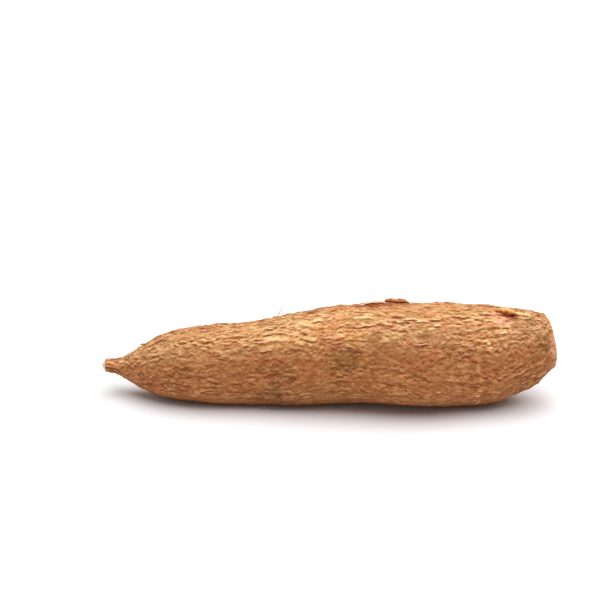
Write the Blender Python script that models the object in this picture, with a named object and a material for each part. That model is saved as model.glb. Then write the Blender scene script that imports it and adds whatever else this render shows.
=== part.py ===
"""A whole cassava root lying on its side, in metres, +Z up.

X runs from the snapped tail to the cut stem end and -Y is the side that faces the viewer. The root is one
grown piece. It rests at Z = 0 on two flattened pads of its underside, and the middle of its box is at
X = 0, Y = 0. Distances along the root are counted from the tail, and angles round it from the viewer's side
upwards, so that a quarter turn is the top.
"""

import math
import random

import bmesh
import bpy
from mathutils import Vector, noise

# The body, station by station: distance from the tail, half thickness, height and sideways place of the axis.
STATIONS = (
    (0.0000, 0.0042, 0.0172, 0.0150),
    (0.0060, 0.0049, 0.0170, 0.0134),
    (0.0120, 0.0070, 0.0172, 0.0117),
    (0.0190, 0.0112, 0.0180, 0.0096),
    (0.0270, 0.0156, 0.0195, 0.0075),
    (0.0370, 0.0196, 0.0213, 0.0052),
    (0.0480, 0.0222, 0.0228, 0.0032),
    (0.0720, 0.0246, 0.0242, 0.0002),
    (0.0960, 0.0259, 0.0258, -0.0003),
    (0.1140, 0.0286, 0.0281, -0.0009),
    (0.1280, 0.0300, 0.0296, -0.0006),
    (0.1410, 0.0308, 0.0308, -0.0004),
    (0.1560, 0.0314, 0.0316, -0.0010),
    (0.1720, 0.0322, 0.0324, -0.0031),
    (0.1880, 0.0324, 0.0323, -0.0048),
    (0.2040, 0.0326, 0.0317, -0.0041),
    (0.2200, 0.0315, 0.0304, -0.0016),
    (0.2340, 0.0311, 0.0302, -0.0002),
    (0.2440, 0.0295, 0.0302, 0.0004),
    (0.2520, 0.0269, 0.0322, 0.0006),
    (0.2610, 0.0244, 0.0341, 0.0004),
    (0.2680, 0.0216, 0.0354, 0.0002),
    (0.2722, 0.0198, 0.0371, 0.0001),
    (0.2755, 0.0164, 0.0381, 0.0000),
    (0.2790, 0.0139, 0.0376, 0.0000),
)
LENGTH = STATIONS[-1][0]
GIRTH_RADIUS = 0.0319

# How finely the body is faceted.
RINGS = 46
SIDES = 94

# Unevenness of the grown body, as heights, and as lengths over which they come and go.
OVAL = 0.022
THREE_LOBED = 0.016
LUMP_HEIGHT = 0.0011
LUMP_LENGTH = 0.055
LUMP_WIDTH = 0.024
UNDERSIDE_RELIEF = 0.35
FULL_RELIEF_RADIUS = 0.026
END_FADE = 0.007

# The scaly bark: drawn-out plates with grooves between them, each tilted so that one long edge stands up.
SCALE_HEIGHT = 0.0021
SCALE_LENGTH = 0.025
SCALE_WIDTH = 0.0074
SCALE_TILT = 1.5
SCALE_SLANT = 0.45
GROOVE = 0.34
WRINKLE_HEIGHT = 0.0007
WRINKLE_LENGTH = 0.018
WRINKLE_WIDTH = 0.0052

# Creases where the bark is drawn in round part of the girth: distance, middle angle and half spread in degrees.
CREASES = (
    (0.1115, -15.0, 40.0),
    (0.2305, 0.0, 60.0),
    (0.1800, 150.0, 55.0),
    (0.0640, 60.0, 70.0),
)
CREASE_DEPTH = 0.0008
CREASE_WIDTH = 0.0030

# The upper edge of the cut stem end is worn back, and its flesh has dried a little below the bark's rim.
EDGE_WORN_BACK = 0.0033
EDGE_WORN_LENGTH = 0.009
EDGE_WORN_FROM = -0.4
PEEL_THICKNESS = 0.0022
FLESH_SUNK = 0.0005
CUT_RINGS = 3
TAIL_SPLINTER = 0.0026

# Where the bark has come off: distance, middle angle in degrees, length and width.
PATCHES = (
    (0.2500, 66.0, 0.0150, 0.0130),
    (0.2775, 20.0, 0.0090, 0.0145),
)
PATCH_DEPTH = 0.0008

# Bark that has lifted: distance, middle angle in degrees, length, width, rise of its free lower edge.
LARGE_PLATES = (
    (0.2505, 75.0, 0.0310, 0.0090, 0.0026),
    (0.1720, 104.0, 0.0260, 0.0064, 0.0021),
)
PLATE_THICKNESS = 0.0008
PLATE_SUNK = 0.0022
LARGE_PLATE_STEPS = 9
SMALL_PLATES = 12
SMALL_PLATE_STEPS = 6
SMALL_PLATE_LENGTH = (0.014, 0.022)
SMALL_PLATE_WIDTH = (0.0026, 0.0038)
SMALL_PLATE_RISE = (0.0010, 0.0016)
PLATE_TIP = 0.97
RAGGEDNESS = 0.7

# Broken side roots: distance, angle in degrees, length.
ROOTLETS = (
    (0.2310, -52.0, 0.0070),
    (0.1150, 112.0, 0.0080),
    (0.0600, 165.0, 0.0065),
    (0.1930, 204.0, 0.0080),
)
ROOTLET_RADIUS = 0.0008
ROOTLET_SIDES = 6
ROOTLET_STEPS = 4
ROOTLET_SUNK = 0.0020

GOLDEN_ANGLE = 137.5
SEED = 7

BARK = ("bark", (0.46, 0.24, 0.10), 0.85)
INNER_PEEL = ("inner_peel", (0.76, 0.36, 0.20), 0.60)
FLESH = ("flesh", (0.90, 0.78, 0.55), 0.45)


def clear_scene():
    for obj in list(bpy.data.objects):
        bpy.data.objects.remove(obj)


def material(name, colour, roughness):
    """A plain finish."""
    made = bpy.data.materials.new(name)
    made.use_nodes = True
    shader = made.node_tree.nodes["Principled BSDF"]
    shader.inputs["Base Color"].default_value = (*colour, 1.0)
    shader.inputs["Roughness"].default_value = roughness
    shader.inputs["Metallic"].default_value = 0.0
    return made


def slopes_through(places, values):
    """Slopes for a smooth curve through the values that never overshoots them."""
    steps = [b - a for a, b in zip(places, places[1:])]
    rises = [(b - a) / step for a, b, step in zip(values, values[1:], steps)]
    slopes = [rises[0]]
    for before, after in zip(rises, rises[1:]):
        turning = before * after <= 0
        slopes.append(0.0 if turning else 2 * before * after / (before + after))
    slopes.append(rises[-1])
    return slopes


class Curve:
    """A smooth curve through one column of the stations, read at any distance along the root."""

    def __init__(self, column):
        self.places = [station[0] for station in STATIONS]
        self.values = [station[column] for station in STATIONS]
        self.slopes = slopes_through(self.places, self.values)

    def at(self, along):
        along = min(max(along, self.places[0]), self.places[-1])
        last = len(self.places) - 2
        i = min(sum(place <= along for place in self.places[1:-1]), last)
        step = self.places[i + 1] - self.places[i]
        t = (along - self.places[i]) / step
        return (
            (1 + 2 * t) * (1 - t) ** 2 * self.values[i]
            + t * (1 - t) ** 2 * step * self.slopes[i]
            + t * t * (3 - 2 * t) * self.values[i + 1]
            + t * t * (t - 1) * step * self.slopes[i + 1]
        )


RADIUS = Curve(1)
AXIS_HEIGHT = Curve(2)
AXIS_SIDE = Curve(3)


def smooth_step(low, high, value):
    t = min(max((value - low) / (high - low), 0.0), 1.0)
    return t * t * (3 - 2 * t)


def outward(around):
    """The direction away from the axis at this angle."""
    return Vector((0.0, -math.cos(around), math.sin(around)))


def angle_between(a, b):
    """The smaller angle from one direction to another, in radians."""
    return abs((a - b + math.pi) % (2 * math.pi) - math.pi)


def stretched(along, around, length, width):
    """Where to read the noise, so that what it draws is drawn out along the root and closes round it."""
    side = outward(around) * GIRTH_RADIUS / width
    return Vector((along / length, side.y, side.z))


def creases(along, around):
    """How far the bark is drawn in here by the creases, from 0 to 1."""
    deepest = 0.0
    for place, middle, spread in CREASES:
        wander = 0.0015 * noise.noise(Vector((3 * around, place / CREASE_WIDTH, 0.5)))
        across = math.exp(-(((along - place + wander) / CREASE_WIDTH) ** 2))
        off = angle_between(around, math.radians(middle))
        reach = 1 - smooth_step(0.6, 1.0, off / math.radians(spread))
        deepest = max(deepest, across * reach)
    return deepest


def scales(along, around):
    """Height of the scaly bark here as a share: a groove is 0, and the raised edge of a plate is near 1."""
    bent = SCALE_SLANT * noise.noise(stretched(along, around, LUMP_LENGTH, LUMP_WIDTH) + Vector((9, 0, 0)))
    place = stretched(along, around + bent, SCALE_LENGTH, SCALE_WIDTH)
    (nearest, second), (middle, _) = (found[:2] for found in noise.voronoi(place))
    plate = smooth_step(0.0, GROOVE, second - nearest)
    upwards = Vector((0.0, math.sin(around), math.cos(around)))
    tilt = SCALE_TILT * (middle - place).dot(upwards)
    return plate * min(max(0.5 + tilt, 0.0), 1.0)


def relief(along, around):
    """Height of the lumps, of the scaly bark and of the fine wrinkles."""
    lump = noise.noise(stretched(along, around, LUMP_LENGTH, LUMP_WIDTH))
    at_ends = smooth_step(0.0, END_FADE, along) * smooth_step(0.0, END_FADE, LENGTH - along)
    below = smooth_step(-0.9, -0.5, math.sin(around))
    strength = at_ends * (UNDERSIDE_RELIEF + (1 - UNDERSIDE_RELIEF) * below)
    strength *= min(1.0, RADIUS.at(along) / FULL_RELIEF_RADIUS)
    wrinkle = abs(noise.noise(stretched(along, around, WRINKLE_LENGTH, WRINKLE_WIDTH)))
    height = LUMP_HEIGHT * lump + SCALE_HEIGHT * (scales(along, around) - 0.5) - WRINKLE_HEIGHT * wrinkle
    return strength * (height - CREASE_DEPTH * creases(along, around))


def half_thickness(along, around):
    """Distance from the axis to the bark."""
    oval = OVAL * math.cos(2 * around + 9 * along / LENGTH)
    lobed = THREE_LOBED * math.cos(3 * around - 7 * along / LENGTH)
    return RADIUS.at(along) * (1 + oval + lobed) + relief(along, around)


def skin_point(along, around, above=0.0):
    """A point on the bark, or this far above it. The underside is pressed flat where it rests."""
    side = outward(around)
    point = Vector((along, AXIS_SIDE.at(along), AXIS_HEIGHT.at(along)))
    point += side * (half_thickness(along, around) + above)
    worn = max(0.0, (math.sin(around) - EDGE_WORN_FROM) / (1 - EDGE_WORN_FROM)) ** 2
    point.x -= EDGE_WORN_BACK * worn * smooth_step(LENGTH - EDGE_WORN_LENGTH, LENGTH, along)
    point.z = max(point.z, 0.0)
    return point


def ring_places():
    """Distances of the rings, closer together where the root narrows quickly."""
    fine = 400
    walked = [0.0]
    for i in range(fine):
        a, b = i * LENGTH / fine, (i + 1) * LENGTH / fine
        walked.append(walked[-1] + math.hypot(b - a, RADIUS.at(b) - RADIUS.at(a)))
    places = []
    i = 0
    for ring in range(RINGS + 1):
        wanted = walked[-1] * ring / RINGS
        while i < fine - 1 and walked[i + 1] < wanted:
            i += 1
        share = (wanted - walked[i]) / (walked[i + 1] - walked[i])
        places.append(min(LENGTH, (i + share) * LENGTH / fine))
    return places


def add_ring(mesh, points):
    return [mesh.verts.new(point) for point in points]


def add_band(mesh, lower, upper, slot):
    """Faces from one ring to the next towards the stem end."""
    count = len(lower)
    for i in range(count):
        j = (i + 1) % count
        face = mesh.faces.new((lower[i], lower[j], upper[j], upper[i]))
        face.material_index = slot
        face.smooth = True


def add_fan(mesh, ring, tip, slot, towards_stem):
    """Triangles that close a ring to a middle point."""
    middle = mesh.verts.new(tip)
    for i, a in enumerate(ring):
        b = ring[(i + 1) % len(ring)]
        face = mesh.faces.new((a, b, middle) if towards_stem else (b, a, middle))
        face.material_index = slot


def shrunk(points, share, shift):
    """The ring drawn in to a share of its size about its middle, and moved along the root."""
    middle = sum(points, Vector()) / len(points)
    return [middle + (point - middle) * share + Vector((shift, 0.0, 0.0)) for point in points]


def close_stem_cut(mesh, rim, ring):
    """The cut face: a rim of bark, the peel, and the flesh a little below it."""
    radius = STATIONS[-1][1]
    flesh_share = 1 - PEEL_THICKNESS / radius
    points = shrunk(rim, flesh_share, 0.0)
    flesh = add_ring(mesh, points)
    add_band(mesh, ring, flesh, 1)
    for step in range(CUT_RINGS):
        share = flesh_share * (1 - 0.06 - 0.28 * step)
        inner = add_ring(mesh, shrunk(rim, share, -FLESH_SUNK))
        add_band(mesh, flesh, inner, 2)
        flesh = inner
    add_fan(mesh, flesh, sum(rim, Vector()) / len(rim) - Vector((FLESH_SUNK, 0, 0)), 2, True)


def close_tail(mesh, rim, ring):
    """The snapped tail: a short splintered cone of flesh."""
    splinters = shrunk(rim, 0.62, -0.4 * TAIL_SPLINTER)
    for i, point in enumerate(splinters):
        point.x -= 0.5 * TAIL_SPLINTER * abs(noise.noise(Vector((0.9 * i, 0.3, 0.7))))
    inner = add_ring(mesh, splinters)
    add_band(mesh, inner, ring, 2)
    add_fan(mesh, inner, sum(rim, Vector()) / len(rim) - Vector((TAIL_SPLINTER, 0, 0)), 2, False)


def object_from(name, mesh, materials):
    bmesh.ops.recalc_face_normals(mesh, faces=mesh.faces)
    data = bpy.data.meshes.new(name)
    mesh.to_mesh(data)
    mesh.free()
    for each in materials:
        data.materials.append(each)
    obj = bpy.data.objects.new(name, data)
    bpy.context.scene.collection.objects.link(obj)
    return obj


def root_body(materials):
    """The bark-covered body with its cut stem end and its snapped tail."""
    mesh = bmesh.new()
    angles = [2 * math.pi * i / SIDES for i in range(SIDES)]
    outline = [[skin_point(along, around) for around in angles] for along in ring_places()]
    rings = [add_ring(mesh, points) for points in outline]
    for lower, upper in zip(rings, rings[1:]):
        add_band(mesh, lower, upper, 0)
    close_stem_cut(mesh, outline[-1], rings[-1])
    close_tail(mesh, outline[0], rings[0])
    return object_from("cassava_root", mesh, materials)


def shell(name, low, high, materials):
    """A closed slab between two grids of points that share their outline's order."""
    mesh = bmesh.new()
    bottom = [add_ring(mesh, row) for row in low]
    top = [add_ring(mesh, row) for row in high]
    rows, columns = len(low), len(low[0])
    for grid in (bottom, top):
        for i in range(rows - 1):
            for j in range(columns - 1):
                mesh.faces.new((grid[i][j], grid[i + 1][j], grid[i + 1][j + 1], grid[i][j + 1]))
    edge = [(i, 0) for i in range(rows)]
    edge += [(rows - 1, j) for j in range(1, columns)]
    edge += [(i, columns - 1) for i in range(rows - 2, -1, -1)]
    edge += [(0, j) for j in range(columns - 2, 0, -1)]
    for (i, j), (k, m) in zip(edge, edge[1:] + edge[:1]):
        mesh.faces.new((bottom[i][j], bottom[k][m], top[k][m], top[i][j]))
    return object_from(name, mesh, materials)


def leaf_grid(along, around, length, width, steps, height):
    """Points over a leaf-shaped piece of the bark. height(t, across) says how far above the bark each lies."""
    girth = RADIUS.at(along)
    rows = []
    for i in range(steps + 1):
        t = PLATE_TIP * (2 * i / steps - 1)
        half_width = 0.5 * width * (1 - t * t) ** 0.7
        row = []
        for across in (-1.0, 0.0, 1.0):
            ragged = 1 + RAGGEDNESS * noise.noise(Vector((3 * t, 2 * across, 300 * along)))
            angle = around + across * ragged * half_width / girth
            row.append(skin_point(along + 0.5 * length * t, angle, height(t, across)))
        rows.append(row)
    return rows


def bark_plate(name, along, around, length, width, rise, steps, materials):
    """A leaf-shaped plate of bark, sunk in along its upper edge and lifted along its lower one."""

    def top(t, across):
        lifted = 0.5 * (1 - across)
        return 0.4 * PLATE_THICKNESS + rise * lifted * lifted * (1 - t * t)

    def bottom(t, across):
        lifted = max(0.0, -across)
        return top(t, across) - PLATE_THICKNESS - PLATE_SUNK * (1 - lifted * (1 - t * t))

    low = leaf_grid(along, around, length, width, steps, bottom)
    high = leaf_grid(along, around, length, width, steps, top)
    return shell(name, low, high, materials)


def patch_cutter(name, along, around, length, width, materials):
    """What is taken out of the bark where it has come off."""
    sizes = (along, around, length, width, LARGE_PLATE_STEPS)
    low = leaf_grid(*sizes, lambda t, across: -PATCH_DEPTH)
    high = leaf_grid(*sizes, lambda t, across: 6 * PATCH_DEPTH)
    return shell(name, low, high, materials)


def rootlet(name, along, around, length, materials):
    """A broken side root: a tapering stub that bends over towards the tail, its base sunk into the bark."""
    start = skin_point(along, around, -ROOTLET_SUNK)
    side = outward(around)
    across = Vector((1.0, 0.0, 0.0)).cross(side)
    mesh = bmesh.new()
    rings = []
    for step in range(ROOTLET_STEPS + 1):
        t = step / ROOTLET_STEPS
        middle = start + side * (ROOTLET_SUNK + 0.45 * length) * math.sin(0.5 * math.pi * t)
        middle.x -= 0.8 * length * t * t
        radius = ROOTLET_RADIUS * (1 - 0.5 * t)
        ring = []
        for i in range(ROOTLET_SIDES):
            turn = 2 * math.pi * i / ROOTLET_SIDES
            ring.append(middle + radius * (math.cos(turn) * Vector((1, 0, 0)) + math.sin(turn) * across))
        rings.append(add_ring(mesh, ring))
    for lower, upper in zip(rings, rings[1:]):
        add_band(mesh, lower, upper, 0)
    mesh.faces.new(rings[0])
    mesh.faces.new(rings[-1])
    return object_from(name, mesh, materials)


def loose_bark_and_rootlets(materials):
    """Every lifted plate and broken side root, to be joined to the body."""
    pieces = []
    for i, (along, around, length, width, rise) in enumerate(LARGE_PLATES):
        sizes = (along, math.radians(around), length, width, rise, LARGE_PLATE_STEPS)
        pieces.append(bark_plate(f"large_plate_{i}", *sizes, materials))
    draw = random.Random(SEED)
    for i in range(SMALL_PLATES):
        along = LENGTH * (0.16 + 0.70 * (i + 0.5) / SMALL_PLATES)
        around = math.radians(-30.0 + (i * GOLDEN_ANGLE) % 240.0)
        sizes = [draw.uniform(*span) for span in (SMALL_PLATE_LENGTH, SMALL_PLATE_WIDTH, SMALL_PLATE_RISE)]
        pieces.append(bark_plate(f"small_plate_{i}", along, around, *sizes, SMALL_PLATE_STEPS, materials))
    for i, (along, around, length) in enumerate(ROOTLETS):
        pieces.append(rootlet(f"rootlet_{i}", along, math.radians(around), length, materials))
    return pieces


def apply_modifiers(obj):
    """Gives the object the mesh that its modifiers make of it."""
    graph = bpy.context.evaluated_depsgraph_get()
    made = bpy.data.meshes.new_from_object(obj.evaluated_get(graph))
    obj.modifiers.clear()
    obj.data = made


def cut_patches(body, materials):
    """Takes the missing bark out of the body."""
    for i, (along, around, length, width) in enumerate(PATCHES):
        cutter = patch_cutter(f"missing_{i}", along, math.radians(around), length, width, materials)
        cut = body.modifiers.new("missing_bark", "BOOLEAN")
        cut.operation = "DIFFERENCE"
        cut.solver = "EXACT"
        cut.object = cutter
        apply_modifiers(body)
        bpy.data.objects.remove(cutter)


def join(body, pieces):
    """Joins the pieces to the body as one solid."""
    group = bpy.data.collections.new("lifted_pieces")
    bpy.context.scene.collection.children.link(group)
    for piece in pieces:
        bpy.context.scene.collection.objects.unlink(piece)
        group.objects.link(piece)
    union = body.modifiers.new("grown_together", "BOOLEAN")
    union.operation = "UNION"
    union.operand_type = "COLLECTION"
    union.solver = "EXACT"
    union.collection = group
    apply_modifiers(body)
    for piece in pieces:
        bpy.data.objects.remove(piece)
    bpy.data.collections.remove(group)


def centre(body):
    """Moves the mesh so that the middle of its box is over the origin and its pads are at Z = 0."""
    xs = [vertex.co.x for vertex in body.data.vertices]
    ys = [vertex.co.y for vertex in body.data.vertices]
    zs = [vertex.co.z for vertex in body.data.vertices]
    shift = Vector((-(min(xs) + max(xs)) / 2, -(min(ys) + max(ys)) / 2, -min(zs)))
    for vertex in body.data.vertices:
        vertex.co += shift


def main():
    clear_scene()
    materials = [material(*BARK), material(*INNER_PEEL), material(*FLESH)]
    body = root_body(materials)
    cut_patches(body, materials[1:2])
    join(body, loose_bark_and_rootlets(materials[:1]))
    centre(body)
    body.data.set_sharp_from_angle(angle=math.radians(50))


main()
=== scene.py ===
"""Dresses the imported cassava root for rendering, in metres, in the frame of its solid.

The root lies along X with its cut stem end at +X, and -Y is the side that faces the viewer. A place on
the bark is given as a distance along the root from the rim of the snapped tail, and as an angle round it
in degrees, from the viewer's side upwards, so that 90 is the top and 180 is the back.
"""

import logging
import math
import random
from dataclasses import dataclass, field
from enum import Enum

import bmesh
import bpy
import numpy as np
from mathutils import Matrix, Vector, noise
from mathutils.bvhtree import BVHTree


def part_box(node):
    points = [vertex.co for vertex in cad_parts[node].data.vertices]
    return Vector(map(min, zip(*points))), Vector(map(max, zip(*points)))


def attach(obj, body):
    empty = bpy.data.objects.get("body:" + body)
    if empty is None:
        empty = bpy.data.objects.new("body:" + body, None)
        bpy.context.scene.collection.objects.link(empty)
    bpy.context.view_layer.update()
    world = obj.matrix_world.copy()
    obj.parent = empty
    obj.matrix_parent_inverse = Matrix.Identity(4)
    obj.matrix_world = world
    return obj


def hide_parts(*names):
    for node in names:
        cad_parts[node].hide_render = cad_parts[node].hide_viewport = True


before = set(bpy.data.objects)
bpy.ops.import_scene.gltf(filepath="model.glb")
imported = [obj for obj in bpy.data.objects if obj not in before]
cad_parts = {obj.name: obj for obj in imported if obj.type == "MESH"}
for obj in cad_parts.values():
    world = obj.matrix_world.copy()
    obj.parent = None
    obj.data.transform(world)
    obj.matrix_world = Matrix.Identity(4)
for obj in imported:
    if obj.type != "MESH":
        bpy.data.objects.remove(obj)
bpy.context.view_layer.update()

log = logging.getLogger("cassava_root")

NODE = "cassava_root"
BODY = "root"
SHARP_FROM = math.radians(50)

Socket = bpy.types.NodeSocket
Material = bpy.types.Material
Piece = bpy.types.Object
Array = np.ndarray
Source = Socket | float | tuple[float, ...]
Colour = tuple[float, float, float, float]


def srgb(red: int, green: int, blue: int) -> Colour:
    """Turns a colour given as it looks on a screen into the linear one that shaders take.

    Args:
        red: Red, 0 to 255.
        green: Green, 0 to 255.
        blue: Blue, 0 to 255.

    Returns:
        The linear colour with an alpha of 1.
    """
    levels = [level / 255 for level in (red, green, blue)]
    linear = [x / 12.92 if x <= 0.04045 else ((x + 0.055) / 1.055) ** 2.4 for x in levels]
    return (linear[0], linear[1], linear[2], 1.0)


def smooth_step(low: float, high: float, value: Array | float) -> Array:
    """Eases from 0 to 1 as the value goes from low to high.

    Args:
        low: Where the result is still 0.
        high: Where the result has reached 1.
        value: One number or an array of them.

    Returns:
        The eased share for each number.
    """
    t = np.clip((np.asarray(value, float) - low) / (high - low), 0.0, 1.0)
    return t * t * (3 - 2 * t)


def blurred(grid: Array, spread: float, axis: int, closed: bool) -> Array:
    """Blurs a grid along one axis with a bell-shaped weight.

    Args:
        grid: The values.
        spread: Standard deviation of the weight, in cells.
        axis: The axis to blur along.
        closed: Whether the axis closes on itself, as angles round the root do.

    Returns:
        The blurred grid, of the same shape.
    """
    reach = int(math.ceil(3 * spread))
    offsets = np.arange(-reach, reach + 1)
    weights = np.exp(-0.5 * (offsets / spread) ** 2)
    weights /= weights.sum()
    widths = [(0, 0)] * grid.ndim
    widths[axis] = (reach, reach)
    padded = np.pad(grid, widths, mode="wrap" if closed else "edge")
    size = grid.shape[axis]
    blurred_grid = np.zeros_like(grid)
    for offset, weight in zip(offsets + reach, weights):
        blurred_grid += weight * np.take(padded, range(offset, offset + size), axis=axis)
    return blurred_grid


def wrapped(angle: Array | float) -> Array | float:
    """Brings an angle in radians to within half a turn of zero."""
    return (angle + math.pi) % (2 * math.pi) - math.pi


def all_round(sides: int) -> Array:
    """Angles spread evenly round the root, in radians."""
    return 2 * math.pi * np.arange(sides) / sides


def share_of_top(facing_up: Array | float) -> Array:
    """How far a place has the root's paler top colours, painted light from above, from how far it faces up.
    """
    return smooth_step(0.22, 0.97, facing_up)


class Wiring:
    """Adds nodes and links to a shader tree or a geometry tree, which have the same nodes for numbers."""

    def __init__(self, tree: bpy.types.NodeTree) -> None:
        """Keeps the tree to add to."""
        self.tree = tree

    def node(self, kind: str, **settings: object) -> bpy.types.Node:
        """Adds a node.

        Args:
            kind: Blender's name for the kind of node.
            **settings: Values for the node's own settings.

        Returns:
            The new node.
        """
        made = self.tree.nodes.new(kind)
        for name, value in settings.items():
            setattr(made, name, value)
        return made

    def feed(self, socket: Socket, source: object) -> None:
        """Links a socket to another one, or gives it a value."""
        if isinstance(source, Socket):
            self.tree.links.new(source, socket)
        else:
            socket.default_value = source

    def fed(self, kind: str, sources: dict[str | int, object], **settings: object) -> bpy.types.Node:
        """Adds a node and feeds its sockets.

        Args:
            kind: Blender's name for the kind of node.
            sources: What each socket is fed, by the socket's name or number.
            **settings: Values for the node's own settings.

        Returns:
            The new node.
        """
        made = self.node(kind, **settings)
        for name, source in sources.items():
            self.feed(made.inputs[name], source)
        return made

    def math(self, operation: str, *sources: Source) -> Socket:
        """Works out a number from others.

        Args:
            operation: Blender's name for the operation.
            *sources: The operands.

        Returns:
            The result's socket.
        """
        return self.fed("ShaderNodeMath", dict(enumerate(sources)), operation=operation).outputs[0]

    def times(self, first: Source, second: Source) -> Socket:
        """Multiplies two numbers."""
        return self.math("MULTIPLY", first, second)

    def total(self, *sources: Source) -> Socket:
        """Adds several numbers up."""
        result = sources[0]
        for source in sources[1:]:
            result = self.math("ADD", result, source)
        return result

    def vector(self, operation: str, *sources: Source) -> Socket:
        """Works out a vector from others.

        Args:
            operation: Blender's name for the operation.
            *sources: The operands.

        Returns:
            The result's socket.
        """
        made = self.fed("ShaderNodeVectorMath", dict(enumerate(sources)), operation=operation)
        return made.outputs["Vector"]

    def in_bumps(self, place: Socket, length: float, width: float) -> Socket:
        """Measures a place in bumps of this length along the root and this width across it."""
        return self.vector("MULTIPLY", place, (1 / length, 1 / width, 1 / width))

    def scaled(self, vector: Socket, share: Source) -> Socket:
        """Makes a vector longer or shorter."""
        made = self.fed("ShaderNodeVectorMath", {0: vector, "Scale": share}, operation="SCALE")
        return made.outputs["Vector"]

    def parts(self, vector: Socket) -> bpy.types.NodeOutputs:
        """Splits a vector into its three numbers."""
        return self.fed("ShaderNodeSeparateXYZ", {0: vector}).outputs

    def vector_of(self, x: Source, y: Source, z: Source) -> Socket:
        """Makes a vector from three numbers."""
        return self.fed("ShaderNodeCombineXYZ", {0: x, 1: y, 2: z}).outputs[0]

    def noise(self, place: Socket, detail: float = 2.0, roughness: float = 0.5) -> bpy.types.NodeOutputs:
        """Reads smooth noise, about one bump to each unit of the place.

        Args:
            place: Where to read it.
            detail: How many finer layers it has.
            roughness: How strong the finer layers are.

        Returns:
            The outputs: a number and a colour, each about 0.5 on average.
        """
        sources = {"Vector": place, "Scale": 1.0, "Detail": detail, "Roughness": roughness}
        return self.fed("ShaderNodeTexNoise", sources).outputs

    def remap(
        self, value: Source, low: Source, high: Source, to_low: Source = 0.0, to_high: Source = 1.0
    ) -> Socket:
        """Eases a number from one range to another.

        Args:
            value: The number.
            low: Start of its range.
            high: End of its range.
            to_low: What the start becomes.
            to_high: What the end becomes.

        Returns:
            The result's socket.
        """
        sources = dict(enumerate((value, low, high, to_low, to_high)))
        return self.fed("ShaderNodeMapRange", sources, interpolation_type="SMOOTHSTEP").outputs[0]

    def blend(self, share: Source, first: Source, second: Source, kind: str = "MIX") -> Socket:
        """Blends two colours.

        Args:
            share: How much of the second is used.
            first: The colour below.
            second: The colour above.
            kind: Blender's name for the way that they blend.

        Returns:
            The result's socket.
        """
        sources = {0: share, 6: first, 7: second}
        return self.fed("ShaderNodeMix", sources, data_type="RGBA", blend_type=kind).outputs[2]

    def ramp(self, share: Source, *stops: tuple[float, Colour]) -> Socket:
        """Turns a number into a colour.

        Args:
            share: The number, 0 to 1.
            *stops: Where each colour stands, and the colour.

        Returns:
            The result's socket.
        """
        made = self.node("ShaderNodeValToRGB")
        self.feed(made.inputs[0], share)
        elements = made.color_ramp.elements
        while len(elements) < len(stops):
            elements.new(0.5)
        for element, (at, colour) in zip(elements, stops):
            element.position = at
            element.color = colour
        return made.outputs[0]


class SurfaceTree(Wiring):
    """A material's tree, with the shader that a finish sets up."""

    def __init__(self, name: str) -> None:
        """Makes the material.

        Args:
            name: The material's name.
        """
        self.material = bpy.data.materials.new(name)
        self.material.use_nodes = True
        super().__init__(self.material.node_tree)
        self.shader = self.tree.nodes["Principled BSDF"]

    def attribute(self, name: str) -> bpy.types.NodeOutputs:
        """Reads one of the piece's own attributes."""
        made = self.node("ShaderNodeAttribute", attribute_name=name)
        return made.outputs

    def place(self) -> Socket:
        """Reads the place in the piece's own coordinates."""
        return self.node("ShaderNodeTexCoord").outputs["Object"]

    def coat(self, colour: Source, roughness: Source, gloss: float = 0.5) -> None:
        """Sets the surface's colour, how rough it is and how much it mirrors.

        Args:
            colour: Its colour.
            roughness: Its roughness, 0 to 1.
            gloss: How much it mirrors, where 0.5 is the usual amount.
        """
        self.feed(self.shader.inputs["Base Color"], colour)
        self.feed(self.shader.inputs["Roughness"], roughness)
        self.shader.inputs["Specular IOR Level"].default_value = gloss

    def bump(self, height: Socket, distance: float, strength: float = 1.0) -> None:
        """Roughens the surface.

        Args:
            height: The height, 0 to 1.
            distance: What a height of 1 stands for, in metres.
            strength: How much of it shows.
        """
        sources = {"Strength": strength, "Distance": distance, "Height": height}
        self.feed(self.shader.inputs["Normal"], self.fed("ShaderNodeBump", sources).outputs[0])


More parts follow.
